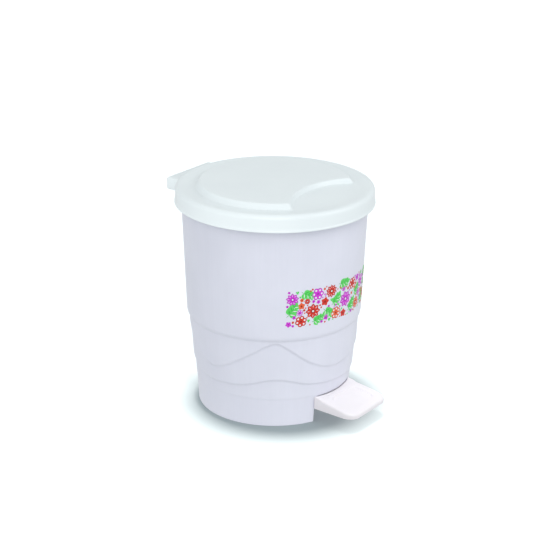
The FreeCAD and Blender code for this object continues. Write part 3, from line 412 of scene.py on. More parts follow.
MAT = {
    "body": plastic("body_white", (0.735, 0.742, 0.835), (0.70, 0.708, 0.80), rough=(0.30, 0.40), streak=0.012, sub=0.12),
    "lid": plastic("lid_white", (0.80, 0.855, 0.87), (0.775, 0.83, 0.848), rough=(0.30, 0.36), grain=500.0, grain_depth=0.000004),
    "pedal": plastic("pedal_white", (0.925, 0.88, 0.915), (0.895, 0.855, 0.89), rough=(0.28, 0.38), sub=0.12, dirt=(0.62, 0.6, 0.6, 0.05)),
    "bucket": plastic("bucket_white", (0.70, 0.72, 0.765), (0.66, 0.68, 0.73), rough=(0.38, 0.52), grain=900.0, grain_depth=0.00003, sub=0.1),
    "lever": plastic("lever_white", (0.75, 0.77, 0.79), (0.71, 0.73, 0.75), rough=(0.38, 0.5), grain=1100.0),
    "cover": plastic("cover_white", (0.68, 0.70, 0.75), (0.64, 0.66, 0.71), rough=(0.42, 0.55), grain=900.0),
    "bush": plastic("bush_natural", (0.78, 0.77, 0.70), (0.72, 0.71, 0.64), rough=(0.4, 0.5), grain=1400.0),
    "grip": plastic("grip_white", (0.78, 0.79, 0.82), (0.74, 0.75, 0.78), rough=(0.25, 0.36), grain=1700.0),
    "wire": metal("wire_steel", (0.72, 0.73, 0.75), (0.55, 0.56, 0.58), (0.2, 0.34), (1, 1, 1), 900.0),
    "zinc": metal("zinc_steel", (0.66, 0.67, 0.69), (0.48, 0.49, 0.5), (0.3, 0.46), (1, 1, 1), 1500.0, tone=0.3),
}

# ------------------------------------------------------------------ outer body
GROUND = [(0, 84.5), (22, 85.9), (33, 86.8), (42, 87.4), (60, 88.8), (80, 90.1), (96, 90.9), (120, 92.4)]
SHOULDER = [(88, 82.0), (97.8, 89.6), (103.4, 93.6), (107.0, 96.7), (109.6, 97.35), (113, 97.6), (233.9, 102.6), (246.7, 103.2), (260, 103.8)]
WAVE_B = [(-180, 79), (-170, 82), (-160, 92), (-148, 102.5), (-137, 95), (-127, 83), (-117, 72.5), (-107, 66.5), (-98, 64.8), (-86.5, 71.4), (-76.8, 80.7), (-68.1, 89.4), (-60, 97.8), (-52, 102.6), (-44.1, 95.5), (-35.6, 84.8), (-26.4, 75), (-16.2, 68.3), (-6.7, 65.4), (1.6, 66.1), (10, 68), (18, 70.4), (33, 76), (43, 84), (52, 94.5), (61, 102.5), (69, 98), (78, 88), (88, 74), (98, 65.5), (108, 66), (118, 72), (128, 83), (138, 95), (148, 102.5), (160, 92), (170, 82)]
WAVE_C = [(-180, 48), (-165, 54), (-148, 57.5), (-135, 55), (-120, 49), (-108, 46.5), (-98, 46.3), (-88, 47.3), (-80, 48.5), (-73, 50.5), (-64, 54.7), (-55.9, 57.7), (-47.6, 57.6), (-39, 54.5), (-30, 50.5), (-20, 48), (-9, 46), (1, 45.3), (10, 44.6), (20, 44.8), (33, 47), (45, 52), (55, 56.5), (61, 57.8), (68, 56.5), (78, 51.5), (88, 47.5), (98, 46.2), (108, 46.5), (120, 49), (135, 55), (148, 57.5), (165, 54)]
N = 720
TH = np.arange(N) * (360.0 / N) - 90.0


def line(table, z):
    zs, rs = zip(*table)
    return np.interp(z, zs, rs)


def soft_line(table, z, w=1.2):
    z = np.asarray(z, float)
    return sum(line(table, z + k * w) * g for k, g in ((-1, 0.2), (-0.5, 0.2), (0, 0.2), (0.5, 0.2), (1, 0.2)))


def body_radius(th, z):
    """Outside of the body at an angle and height: cone, two layers of waves, shoulder, upper cone."""
    th = np.asarray(th, float)
    z = np.asarray(z, float) + 0 * th
    r = soft_line(GROUND, z)
    b, c = periodic(WAVE_B, th), periodic(WAVE_C, th)
    r = r + 1.65 * smoothstep((z - c + 2.3) / 3.5) + 1.6 * smoothstep((z - b + 2.3) / 3.5)
    r = r + 0.3 * smoothstep((z - 31.5) / 2.6)
    return smax(r, soft_line(SHOULDER, z, 0.9), 0.9)


def inner_radius(z):
    return line([(0, 82.3), (30.8, 84.4), (33, 84.6), (42, 85.2), (60, 86.6), (80, 87.9), (98, 88.7), (101.4, 91.2), (107.2, 94.2), (111, 95.1), (233.9, 100.4), (246.7, 101.0), (260, 101.0)], z)


KA, KB = 137, 223                # columns of the pedal opening's two sides
QA, QB = 517, 548                # columns of the notch for the lid lever, at the back


def gap_half(z):
    """Half width of the pedal opening at a height: its upper corners are rounded."""
    t = max(0.0, z - (FLOOR_LOW - 3.0))
    return GAP_HALF - 3.0 + math.sqrt(max(0.0, 9.0 - t * t))


def columns(r, z):
    """The angles of the columns at one height, moved so that whole columns follow the openings' sides."""
    xp, fp = [-90.0], [-90.0]

    def anchor(ka, kb, ta, tb, w):
        na, nb = TH[ka], TH[kb]
        for n, t in ((na - 7, na - 7), (na, na + w * (ta - na)), (nb, nb + w * (tb - nb)), (nb + 7, nb + 7)):
            xp.append(n)
            fp.append(t)

    wf = 1.0 if z <= FLOOR_LOW else max(0.0, 1 - (z - FLOOR_LOW) / 9.0)
    h = gap_half(min(z, FLOOR_LOW))
    a = math.degrees(math.asin(min(1.0, h / r)))
    anchor(KA, KB, -a, a, float(smoothstep(wf)))
    wb = 1.0 if z >= 220 else max(0.0, 1 - (220 - z) / 9.0)
    anchor(QA, QB, 180 - math.degrees(math.asin(11.6 / r)), 180 + math.degrees(math.asin(4.0 / r)), float(smoothstep(wb)))
    xp.append(270.0)
    fp.append(270.0)
    return np.interp(TH, xp, fp)


def gap_distance(x, z):
    qx, qz = np.abs(x) - (GAP_HALF - 3), z - (FLOOR_LOW - 3)
    return np.hypot(np.maximum(qx, 0), np.maximum(qz, 0)) + np.minimum(np.maximum(qx, qz), 0) - 3


def rounded_in(d, rb):
    u = np.clip(1 - np.maximum(d, 0) / rb, 0, 1)
    return rb * (1 - np.sqrt(np.maximum(0, 1 - u * u)))


body = Build()
front = np.zeros(N, bool)
front[KA:KB] = True
notch = np.zeros(N, bool)
notch[QA:QB] = True
FRONTAL = np.abs(TH) < 60
low_z = [0.0, 0.2, 0.7] + list(np.arange(2.0, 27.0, 1.5)) + [27.8, 28.4, 29.0, 29.5, 29.9, 30.25, 30.5, 30.7, 30.8]
mid_z = list(np.arange(31.4, 113.0, 0.6)) + list(np.arange(116, 218, 6.0)) + [218.0, 220.0, 224, 228, 232, 236, 240, 244]
edge_in = {0.0: 0.7, 0.2: 0.22}


def outer_ring(z):
    th = columns(86.0 if z < 60 else 101.0, z)
    for _ in range(2):  # the sides' angles depend on the radius there
        r = body_radius(th, z)
        th = columns(float(r[KB] if z < 60 else r[QA]), z)
    r = body_radius(th, z) - edge_in.get(z, 0.0)
    if z < 34:
        x = r * np.sin(np.radians(th))
        d = gap_distance(x, z)
        r = r - np.where(FRONTAL & (d > -1), rounded_in(d, 0.45), 0)
    return polar(r, th, z)


def inner_ring(z, r, dr=0.0, gap=True):
    th = columns(r, z)
    rr = np.full(N, r) + dr
    if z < 34 and gap:
        d = gap_distance(rr * np.sin(np.radians(th)), z)
        rr = rr + np.where(FRONTAL & (d > -1), rounded_in(d, 0.45), 0)
    return polar(rr, th, z)


outer_low = [body.add(outer_ring(z)) for z in low_z]
outer_mid = [body.add(outer_ring(z)) for z in mid_z]
rim_path = [(246.5, 103.19), (246.8, 103.4), (247.1, 103.8), (247.5, 104.1), (248.2, 104.2), (249.3, 104.2), (249.8, 103.95), (250.1, 103.4), (250.1, 101.8), (249.85, 101.25), (249.3, 101.0)]
rim = [body.add(inner_ring(z, r)) for z, r in rim_path]
in_z = [244, 240, 236, 232, 228, 224, 220.0, 218.0, 205, 185, 165, 140, 120, 111, 107.2, 104.2, 101.4, 98, 80, 60, 42, 34.4, 33.4]
inner = [body.add(inner_ring(z, float(inner_radius(z)) - (0.25 if z == 33.4 else 0))) for z in in_z]
top_floor = [body.add(polar(r, columns(86.0, 33.0) if r > 70 else TH, 33.0)) for r in (83.6, 78, 60, 40, 20, 6)]
skirt = [body.add(inner_ring(z, float(inner_radius(z)), {0.0: 0.5, 0.2: 0.15}.get(z, 0.0))) for z in low_z]
under = [body.add(polar(r, TH, 30.8)) for r in (78, 60, 40, 20, 6)]
# bottom edge and skirt
body.bridge(skirt[0], outer_low[0], N, skip=front)
for a, b in zip(outer_low, outer_low[1:]):
    body.bridge(a, b, N, skip=front)
for a, b in zip(skirt, skirt[1:]):
    body.bridge(a, b, N, skip=front)
for (a, b), (c, d) in zip(zip(outer_low, outer_low[1:]), zip(skirt, skirt[1:])):
    for k in (KA, KB):
        body.face((a + k, b + k, d + k, c + k))
for k in range(KA, KB):
    body.face((outer_low[-1] + k, outer_low[-1] + k + 1, skirt[-1] + k + 1, skirt[-1] + k))
# wall, rim, inside and both floors
chain = [outer_low[-1]] + outer_mid + rim + inner + top_floor
above = False
for i, (a, b) in enumerate(zip(chain, chain[1:])):
    za = (low_z[-1:] + mid_z + [p[0] for p in rim_path] + in_z + [33.0] * 6)[i]
    zb = (low_z[-1:] + mid_z + [p[0] for p in rim_path] + in_z + [33.0] * 6)[i + 1]
    body.bridge(a, b, N, skip=notch if min(za, zb) >= 220.0 else None)
body.fan(top_floor[-1], N, (0, 0, 33.0))
for a, b in zip([skirt[-1]] + under, under):
    body.bridge(a, b, N)
body.fan(under[-1], N, (0, 0, 30.8))
o220 = outer_mid[mid_z.index(220.0)]
i220 = inner[in_z.index(220.0)]
for k in range(QA, QB):
    body.face((o220 + k, o220 + k + 1, i220 + k + 1, i220 + k))
side_rows = outer_mid[mid_z.index(220.0):] + rim + inner[: in_z.index(220.0) + 1]
for k in (QA, QB):
    body.face([s + k for s in side_rows])
body_shell = body.object("body_shell", [MAT["body"]], sharp=50)

# hinge ears, with their gussets down to the wall
ears = Build()
ear = [(99.8, 222), (101.9, 214), (HY - 9.6, HZ - 12.0), (HY - 6.5, HZ - 5.6)] + arc(HY, HZ, 4.5, -112, 90, 16) + [(100.4, HZ + 4.5)]
for x0, x1 in ((12.5, 18.5), (-18.5, -12.5)):
    prism(ears, ear, "x", x0, x1, 0.5, 2)
body_ears = ears.object("body_hinge_ears", [MAT["body"]])

# ribs and bosses inside the body
lean_at = (0.0, FY + (32 - FZ) * math.tan(LEAN), 32.0)
TILT = np.eye(4)
TILT[:3, :3] = np.array(Matrix.Rotation(-LEAN, 3, "X"))
TILT[:3, 3] = lean_at
ribs = Build()


def clipped_rib(x0, x1):
    """A channel rib: its front edge leans with the rod, its back edge follows the wall."""
    hs = [34, 42, 60, 80, 98, 101.4, 107.2, 111, 135, 160, 185, 212]
    front_edge, back_edge = [], []
    for z in hs:
        front_edge.append((lean_at[1] + (z - 32) * math.tan(LEAN) - 3.2 / math.cos(LEAN), z))
        back_edge.append((math.sqrt(float(inner_radius(z) + 0.9) ** 2 - 8.2**2), z))
    poly = [(y, z) for y, z in front_edge] + [(y, z) for y, z in reversed(back_edge)]
    prism(ribs, poly, "x", x0, x1, 0.3, 1)


clipped_rib(6.2, 8.2)
clipped_rib(-8.2, -6.2)
for i, x in enumerate((-16.5, 14.5)):
    block(ribs, x, x + 2, -26, 66, 21, 31.2, 0.4)
for s in (-1, 1):
    for y, a in ((6, 0.985), (32, 0.955)):
        xs = sorted((s * 56.0, s * 83.9 * a if y == 6 else s * 76.6))
        block(ribs, xs[0], xs[1], y, y + 2, 16, 31.2, 0.4)
for sx in (-1, 1):
    for sy in (-1, 1):
        turned(ribs, [(3.9, 32.6), (3.75, 33.2), (3.6, 34.0), (3.6, 39.1), (3.2, 39.5)], 32, (sx * 37.5, PY + sy * 5.0, 0))
body_ribs = ribs.object("body_ribs_and_bosses", [MAT["body"]])
for ob in (body_shell, body_ears, body_ribs):
    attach(ob, "can")
    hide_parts("outer_body")

# ------------------------------------------------------------------ printed band of flowers and leaves
BAND_Z0, BAND_H, BAND_A0, BAND_A1 = 122.0, 44.0, -47.0, 47.0
BAND_W = math.radians(BAND_A1 - BAND_A0) * 98.5
COL = {"green": 0, "deep": 1, "red": 2, "maroon": 3, "violet": 4, "plum": 5, "white": 6, "orange": 7}
band = Build()


def lay(points, centre, colour, layer):
    """One printed shape as a fan round its centre, wrapped on the body."""
    pts = [centre] + list(points)
    out = []
    for u, v in pts:
        z = BAND_Z0 + v
        th = BAND_A0 + math.degrees(u / 98.5)
        r = float(body_radius(np.array([th]), z)[0]) + 0.07 + 0.05 * layer
        out.append(polar(r, np.array([th]), z)[0])
    s = band.add(out)
    n = len(points)
    for k in range(n):
        band.face((s, s + 1 + k, s + 1 + (k + 1) % n), COL[colour])


def blob(cx, cy, r, colour, layer, n=14):
    lay([(cx + r * math.cos(2 * math.pi * i / n), cy + r * math.sin(2 * math.pi * i / n)) for i in range(n)], (cx, cy), colour, layer)


def petal(cx, cy, ang, r0, r1, width, colour, layer, tip=0.5, n=9):
    """A petal or leaf from r0 to r1 along ang; tip moves its widest place."""
    pts = []
    for side in (1, -1):
        for i in range(n + 1) if side == 1 else range(1, n):
            t = i / n if side == 1 else 1 - i / n
            w = width * 0.5 * (math.sin(math.pi * t**tip) ** 0.8 if 0 < t < 1 else 0.0)
            d = r0 + (r1 - r0) * t
            pts.append((cx + d * math.cos(ang) - side * w * math.sin(ang), cy + d * math.sin(ang) + side * w * math.cos(ang)))
    m = 0.5 * (r0 + r1)
    lay(pts, (cx + m * math.cos(ang), cy + m * math.sin(ang)), colour, layer)


def daisy(cx, cy, r, turn, petals, main, dark, heart="white"):
    """Broad petals with a darker border and a pale slit, round a ringed heart."""
    for i in range(petals):
        a = turn + 2 * math.pi * i / petals
        wide = 2.0 * r * math.pi / petals
        petal(cx, cy, a, r * 0.12, r, wide * 0.98, dark, 0, 0.62)
        petal(cx, cy, a, r * 0.16, r * 0.96, wide * 0.80, main, 1, 0.62)
        petal(cx, cy, a, r * 0.44, r * 0.82, r * 0.07, heart, 2, 0.8, 4)
    blob(cx, cy, r * 0.27, dark, 3)
    blob(cx, cy, r * 0.14, heart, 4)


def rosette(cx, cy, r, turn, petals, main, dark):
    """Round lobes with open middles."""
    for i in range(petals):
        a = turn + 2 * math.pi * i / petals
        x, y = cx + r * 0.62 * math.cos(a), cy + r * 0.62 * math.sin(a)
        blob(x, y, r * 0.42, dark, 0)
        blob(x, y, r * 0.37, main, 1)
        blob(x + r * 0.05 * math.cos(a), y + r * 0.05 * math.sin(a), r * 0.17, "white", 2, 10)
    blob(cx, cy, r * 0.34, main, 3)
    blob(cx, cy, r * 0.17, dark, 4)


def star(cx, cy, r, turn, main, dark, points=5):
    for i in range(points):
        a = turn + 2 * math.pi * i / points
        petal(cx, cy, a, 0.0, r, r * 0.86, main, 0, 0.75)
    blob(cx, cy, r * 0.24, dark, 2, 10)


def sprig(cx, cy, length, turn, pairs, main="green", dark="deep"):
    """A curved stem with pairs of leaves and one at its end."""
    px, py, ang = cx, cy, turn
    step = length / (pairs + 0.6)
    for i in range(pairs):
        nx, ny = px + step * math.cos(ang), py + step * math.sin(ang)
        petal(px, py, ang, -0.2, step * 1.1, 0.55, dark, 1, 1.0, 3)
        size = step * (1.72 - 0.36 * i / max(1, pairs - 1))
        for s in (1, -1):
            petal(nx, ny, ang + s * 1.0, -0.2, size, size * 0.82, main, 0, 0.8)
            petal(nx, ny, ang + s * 0.95, 0.2, size * 0.82, size * 0.13, dark if s > 0 else "white", 1, 0.8, 4)
        px, py, ang = nx, ny, ang + 0.16
    petal(px, py, ang, 0.0, step * 1.7, step * 1.15, main, 0, 0.8)
    petal(px, py, ang, 0.0, step * 1.0, step * 0.12, dark, 1, 0.8, 4)


MOTIFS = [
    ("daisy", 7.6, 33.0, 7.2, 0.2, 9, "violet", "plum"), ("sprig", 1.2, 12.5, 17.0, 0.75, 3), ("rosette", 17.5, 6.8, 6.4, 0.3, 6, "red", "maroon"),
    ("sprig", 17.0, 41.2, 15.0, -0.62, 3), ("star", 17.6, 24.6, 4.3, 0.4, "orange", "maroon"), ("star", 3.7, 4.2, 3.6, 0.9, "violet", "plum"),
    ("daisy", 31.0, 17.2, 7.8, 0.0, 8, "red", "maroon"), ("rosette", 36.2, 36.2, 6.9, 0.0, 6, "violet", "plum"), ("sprig", 29.5, 4.6, 13.5, 0.12, 3),
    ("star", 45.6, 25.6, 4.4, 0.1, "red", "maroon"), ("sprig", 43.6, 17.6, 15.5, -0.75, 3), ("daisy", 53.8, 36.0, 7.0, 0.35, 10, "red", "maroon"),
    ("rosette", 61.2, 9.0, 6.7, 0.5, 7, "orange", "maroon"), ("sprig", 54.2, 19.0, 15.0, 0.55, 3), ("star", 47.6, 7.0, 3.6, 0.0, "violet", "plum"),
    ("daisy", 76.2, 21.0, 7.8, 0.2, 8, "violet", "plum"), ("sprig", 63.2, 42.0, 15.5, -0.28, 3), ("star", 73.2, 5.4, 4.2, 0.2, "red", "maroon"),
    ("rosette", 88.4, 35.6, 6.6, 0.1, 6, "red", "maroon"), ("sprig", 80.6, 5.2, 15.5, 0.55, 3), ("daisy", 99.4, 9.4, 7.2, 0.1, 9, "orange", "maroon"),
    ("sprig", 91.6, 21.6, 14.0, 0.35, 3), ("star", 99.6, 38.8, 4.3, 0.5, "violet", "plum"), ("rosette", 110.4, 31.4, 6.9, 0.3, 7, "violet", "plum"),
    ("sprig", 110.6, 3.4, 15.0, 0.8, 3), ("daisy", 125.0, 12.2, 7.4, 0.0, 8, "red", "maroon"), ("sprig", 118.0, 41.4, 14.0, -0.5, 3),
    ("star", 113.6, 19.4, 3.8, 0.2, "orange", "maroon"), ("rosette", 134.6, 33.4, 6.8, 0.4, 6, "red", "maroon"), ("sprig", 133.2, 6.0, 14.5, 0.35, 3),
    ("daisy", 149.0, 22.6, 7.6, 0.3, 9, "violet", "plum"), ("star", 138.0, 20.0, 4.2, 0.1, "violet", "plum"), ("sprig", 145.0, 39.2, 13.0, -0.1, 3),
    ("rosette", 153.6, 6.6, 5.6, 0.0, 6, "orange", "maroon"),
]
taken = []
for mo in MOTIFS:
    if mo[0] == "sprig":
        for t in (0.15, 0.5, 0.85, 1.1):
            a = mo[4] + 0.24 * t
            taken.append((mo[1] + mo[3] * t * math.cos(a), mo[2] + mo[3] * t * math.sin(a), mo[3] * 0.24))
flowers = [mo for mo in MOTIFS if mo[0] != "sprig"]
for mo in MOTIFS:
    kind, u, v = mo[:3]
    if kind == "sprig":
        sprig(u, v, mo[3], mo[4], mo[5])
        continue
    room = [math.hypot(u - a, v - b) - c for a, b, c in taken] + [math.hypot(u - o[1], v - o[2]) - o[3] * 1.06 for o in flowers if o is not mo]
    r = max(mo[3], min(mo[3] * 1.2, min(room) - 0.2, u - 0.4, v - 0.4, BAND_H - 0.4 - v))
    if kind == "daisy":
        daisy(u, v, r, mo[4], mo[5], mo[6], mo[7])
    elif kind == "rosette":
        rosette(u, v, r, mo[4], mo[5], mo[6], mo[7])
    else:
        star(u, v, r, mo[4], mo[5], mo[6])
    taken.append((u, v, r))
rnd = random.Random(11)
INKS = (("violet", "plum"), ("red", "maroon"), ("green", "deep"), ("orange", "maroon"), ("green", "deep"), ("violet", "plum"))
for size in (5.0, 4.3, 3.6, 3.0, 2.5, 2.1, 1.7, 1.3, 1.0):
    for _ in range(1600):
        u, v = rnd.uniform(size + 0.3, BAND_W - size - 0.3), rnd.uniform(size + 0.3, BAND_H - size - 0.3)
        if all(math.hypot(u - a, v - b) > c + size - 0.05 for a, b, c in taken):
            main, dark = rnd.choice(INKS)
            turn = rnd.uniform(0, 1.2)
            if main == "green" and size > 1.5:
                for s in range(4 if size > 2.4 else 3):
                    a = turn + s * 2 * math.pi / (4 if size > 2.4 else 3)
                    petal(u, v, a, 0.0, size, size * 0.95, "green", 0, 0.8, 6)
                    petal(u, v, a, 0.1 * size, size * 0.8, size * 0.13, "white" if s % 2 else "deep", 1, 0.8, 4)
            elif size > 2.9:
                (daisy if rnd.random() < 0.6 else rosette)(u, v, size, turn, rnd.choice((6, 7)), main, dark)
            elif size > 1.5:
                star(u, v, size, turn, main, dark)
            else:
                blob(u, v, size * 0.85, main, 0, 10)
            taken.append((u, v, size))
inks = [
    ink("print_green", (0.085, 0.62, 0.095), (0.14, 0.68, 0.16)), ink("print_deep_green", (0.03, 0.40, 0.05), (0.06, 0.46, 0.09)),
    ink("print_red", (0.60, 0.022, 0.010), (0.68, 0.06, 0.035)), ink("print_maroon", (0.27, 0.008, 0.008), (0.34, 0.03, 0.02)),
    ink("print_violet", (0.58, 0.022, 0.60), (0.64, 0.08, 0.66)), ink("print_plum", (0.33, 0.010, 0.38), (0.38, 0.04, 0.42)),
    ink("print_white", (0.80, 0.80, 0.84), (0.76, 0.76, 0.81)), ink("print_orange", (0.76, 0.10, 0.03), (0.80, 0.17, 0.07)),
]
print_band = band.object("flower_band", inks, fix=False, smooth=False)
bm = bmesh.new()
bm.from_mesh(print_band.data)
for f in bm.faces:  # every shape faces outwards
    c = f.calc_center_median()
    if f.normal.x * c.x + f.normal.y * c.y < 0:
        f.normal_flip()
bm.to_mesh(print_band.data)
bm.free()
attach(print_band, "can")

# ------------------------------------------------------------------ lid
SLOTS = ((11.9, 19.1), (-19.1, -11.9))  # where the body's ears pass the skirt, in x
SLOT_TOP = 243.8
SA, SB = 500, 507                 # nominal columns of the first slot, x from 19.1 down to 11.9
SC, SD = 532, 540


def slot_cols():
    xs = {}
    for k, x in ((0, 19.1), (1, 11.9), (2, -11.9), (3, -19.1)):
        xs[k] = 180 - math.degrees(math.asin(x / 108.4))
    return xs


XS = slot_cols()
SLOT_K = [int(round((XS[k] + 90) * 2)) for k in range(4)]


def lid_columns(r, z):
    w = 1.0 if z <= SLOT_TOP else max(0.0, 1 - (z - SLOT_TOP) / 3.6)
    w = float(smoothstep(w))
    xp, fp = [-90.0, TH[SLOT_K[0]] - 5], [-90.0, TH[SLOT_K[0]] - 5]
    for k, x in ((0, 19.1), (1, 11.9), (2, -11.9), (3, -19.1)):
        n = TH[SLOT_K[k]]
        t = 180 - math.degrees(math.asin(x / r))
        xp.append(n)
        fp.append(n + w * (t - n))
    xp += [TH[SLOT_K[3]] + 5, 270.0]
    fp += [TH[SLOT_K[3]] + 5, 270.0]
    return np.interp(TH, xp, fp)


def lid_top(x, y):
    """Height of the lid's upper face: flat rim, raised middle, and the curved step in front of it."""
    r = np.hypot(x, y)
    t1 = (FOOT_R - r) / (FOOT_R - TOP_R)
    t2 = (np.hypot(x, y + STEP_C) - (STEP_R - 1.6)) / 4.2
    t = smin(t1, t2, 0.8)
    crown = (CROWN_Z - RIM_Z) - 0.5 * (r / TOP_R) ** 2
    dish = 1.4 * smoothstep((103.5 - r) / 13.0) * smoothstep((r - 52.0) / 34.0)
    return RIM_Z - dish * (1 - smoothstep(t)) + crown * smoothstep(t)


lid = Build()
slots_mask = np.zeros(N, bool)
slots_mask[SLOT_K[0]:SLOT_K[1]] = True
slots_mask[SLOT_K[2]:SLOT_K[3]] = True


def lid_ring(r, z=None, drop=0.0, ring=False):
    th = lid_columns(r, z) if z is not None else TH
    p = polar(r, th, 0.0 if z is None else z)
    if z is None:
        p[:, 2] = lid_top(p[:, 0], p[:, 1]) - drop
        if ring:
            gap = (p[:, 1] > 80) & (p[:, 0] > -12) & (p[:, 0] < 17)
            p[:, 2] = np.where(gap, p[:, 2], p[:, 2] - 3.2)
    return lid.add(p)


radii = [4, 10, 18, 26, 34, 40] + list(np.arange(42, 91.0, 0.6)) + [92, 94, 97, 100, 102.5, 104.4]
top = [lid_ring(r) for r in radii]
roll = [lid_ring(SKIRT_R - 5.0 + 5.0 * math.sin(math.radians(a)), RIM_Z - 5.0 + 5.0 * math.cos(math.radians(a))) for a in (8, 16, 25, 34, 43, 52, 61, 70, 80)]
side_path = [(SKIRT_R, 247.6), (SKIRT_R + 0.03, 245.4), (SKIRT_R + 0.06, SLOT_TOP), (SKIRT_R + 0.1, 241.6), (SKIRT_R + 0.15, 239.0), (SKIRT_R + 0.2, 236.6), (SKIRT_R + 0.32, 236.2), (SKIRT_R + 0.65, 235.85), (LIP_R - 0.06, 235.4), (LIP_R, 234.9), (LIP_R, 234.4), (LIP_R - 0.12, 234.1), (LIP_R - 0.45, 233.9)]
sides = [lid_ring(r, z) for r, z in side_path]
in_path = [(107.85, 233.9), (107.5, 234.05), (107.4, 234.5), (107.3, 239.0), (107.2, SLOT_TOP), (107.12, 246.0), (106.9, 247.4), (106.4, 248.6), (105.6, 249.6), (104.6, 250.2), (103.6, 250.4)]
ins = [lid_ring(r, z) for r, z in in_path]
under_r = [100, 97, 95.2]
und = [lid_ring(r, None, LID_W) for r in under_r]
ring_rows = [lid_ring(95.0, None, LID_W), lid_ring(94.9, None, LID_W - 0.3, True), lid_ring(94.5, None, LID_W, True), lid_ring(93.5, None, LID_W, True), lid_ring(93.1, None, LID_W - 0.3, True), lid_ring(93.0, None, LID_W)]
und2 = [lid_ring(r, None, LID_W) for r in [92.6, 91] + list(np.arange(90, 41, -1.4)) + [36, 26, 16, 8, 4]]
path_z = [999.0] * (len(top) + len(roll)) + [z for r, z in side_path] + [z for r, z in in_path] + [999.0] * (len(und) + len(ring_rows) + len(und2))
chain = top + roll + sides + ins + und + ring_rows + und2
for (a, b), za, zb in zip(zip(chain, chain[1:]), path_z, path_z[1:]):
    lid.bridge(a, b, N, skip=slots_mask if max(za, zb) <= SLOT_TOP else None)
lid.fan(top[0], N, (0, 0, CROWN_Z))
lid.fan(und2[-1], N, (0, 0, CROWN_Z - LID_W))
so, si = sides[[z for r, z in side_path].index(SLOT_TOP)], ins[[z for r, z in in_path].index(SLOT_TOP)]
for k in range(N):
    if slots_mask[k]:
        lid.face((so + k, so + k + 1, si + k + 1, si + k))
loop = sides[[z for r, z in side_path].index(SLOT_TOP):] + ins[: [z for r, z in in_path].index(SLOT_TOP) + 1]
for k in SLOT_K:
    lid.face([s + k for s in loop])
lid_shell = lid.object("lid_shell", [MAT["lid"]], sharp=50)

# hinge housing: a shallow box behind the skirt, open below
house = Build()


def house_outline(d):
    """Plan of the housing's wall, moved inwards by d, from the skirt round the back to the skirt again."""
    rc = max(0.4, 3.4 - d)
    xe, ye = HOUSE_X - d, HOUSE_Y - d
    pts = [(xe, 101.9 + 0.4 * i) for i in range(4)]
    y1 = ye - rc
    pts += [(xe, 103.6 + (y1 - 103.6) * i / 8) for i in range(8)]
    pts += [(xe - rc + rc * math.cos(math.radians(a)), y1 + rc * math.sin(math.radians(a))) for a in np.linspace(0, 90, 13)]
    xs = np.linspace(xe - rc, -(xe - rc), 40)[1:-1]
    pts += [(x, ye) for x in xs]
    pts += [(-p[0], p[1]) for p in reversed(pts[:25])]
    return pts


M = len(house_outline(0))


def house_ring(d, z):
    return house.add([(x, y, z) for x, y in house_outline(d)])


def house_arc(z, r=SKIRT_R - 0.6):
    """Points on the skirt, one for each point of the outline."""
    out = []
    for x, y in house_outline(3.3):
        x2 = max(-34.7, min(34.7, x))
        out.append((x2, min(y, math.sqrt(r * r - x2 * x2)), z))
    return house.add(out)


rows = [house_ring(2.2, 232.5), house_ring(2.0, 232.1), house_ring(1.7, HOUSE_LOW)]
for a in (25, 50, 70, 90):
    rows.append(house_ring(1.4 * (1 - math.sin(math.radians(a))), HOUSE_LOW + 2.4 * (1 - math.cos(math.radians(a)))))
rows += [house_ring(0.0, 237.5), house_ring(0.0, HOUSE_TOP - 3.0)]
for a in (15, 30, 45, 60, 75, 90):
    rows.append(house_ring(3.0 * (1 - math.cos(math.radians(a))), HOUSE_TOP - 3.0 + 3.0 * math.sin(math.radians(a))))
rows.append(house_arc(HOUSE_TOP, SKIRT_R - 0.6))
for a, b in zip(rows, rows[1:]):
    house.bridge(a, b, M, closed=False)
rows_in = [rows[0], house_ring(2.2, 243.0), house_ring(2.5, 243.6), house_ring(3.0, 243.8), house_arc(243.8, SKIRT_R - 0.6)]
for a, b in zip(rows_in, rows_in[1:]):
    house.bridge(a, b, M, closed=False)
house.bridge(rows[-1], rows_in[-1], M, closed=False)
for k in (0, M - 1):  # the two ends, inside the skirt's wall
    house.face([r + k for r in rows] + [r + k for r in reversed(rows_in[1:])])


def cheek(x0, x1, cy=113.2, cz=238.6, bore=2.08):
    """One plate that the hinge pin passes through: a rectangle with a round hole."""
    corners = [math.atan2(z - cz, y - cy) for y in (107.2, 122.0) for z in (232.6, 244.0)]
    angles = sorted([math.radians(-177 + 7.5 * i) for i in range(48)] + corners)

    def edge(x, d):
        pts = []
        for a in angles:
            c, s_ = math.cos(a), math.sin(a)
            reach = [((122.0 - d - cy) if c > 0 else (107.2 + d - cy)) / c] if abs(c) > 1e-6 else []
            reach += [((244.0 - d - cz) if s_ > 0 else (232.6 + d - cz)) / s_] if abs(s_) > 1e-6 else []
            pts.append((x, cy + min(reach) * c, cz + min(reach) * s_))
        return house.add(pts)

    def hole(x, r):
        return house.add([(x, cy + r * math.cos(a), cz + r * math.sin(a)) for a in angles])

    loops = [hole(x0, bore + 0.2), edge(x0, 0.3), edge(x0 + 0.3, 0.0), edge(x1 - 0.3, 0.0), edge(x1, 0.3), hole(x1, bore + 0.2), hole(x1 - 0.2, bore), hole(x0 + 0.2, bore)]
    for p, q in zip(loops, loops[1:] + loops[:1]):
        house.bridge(p, q, len(angles))


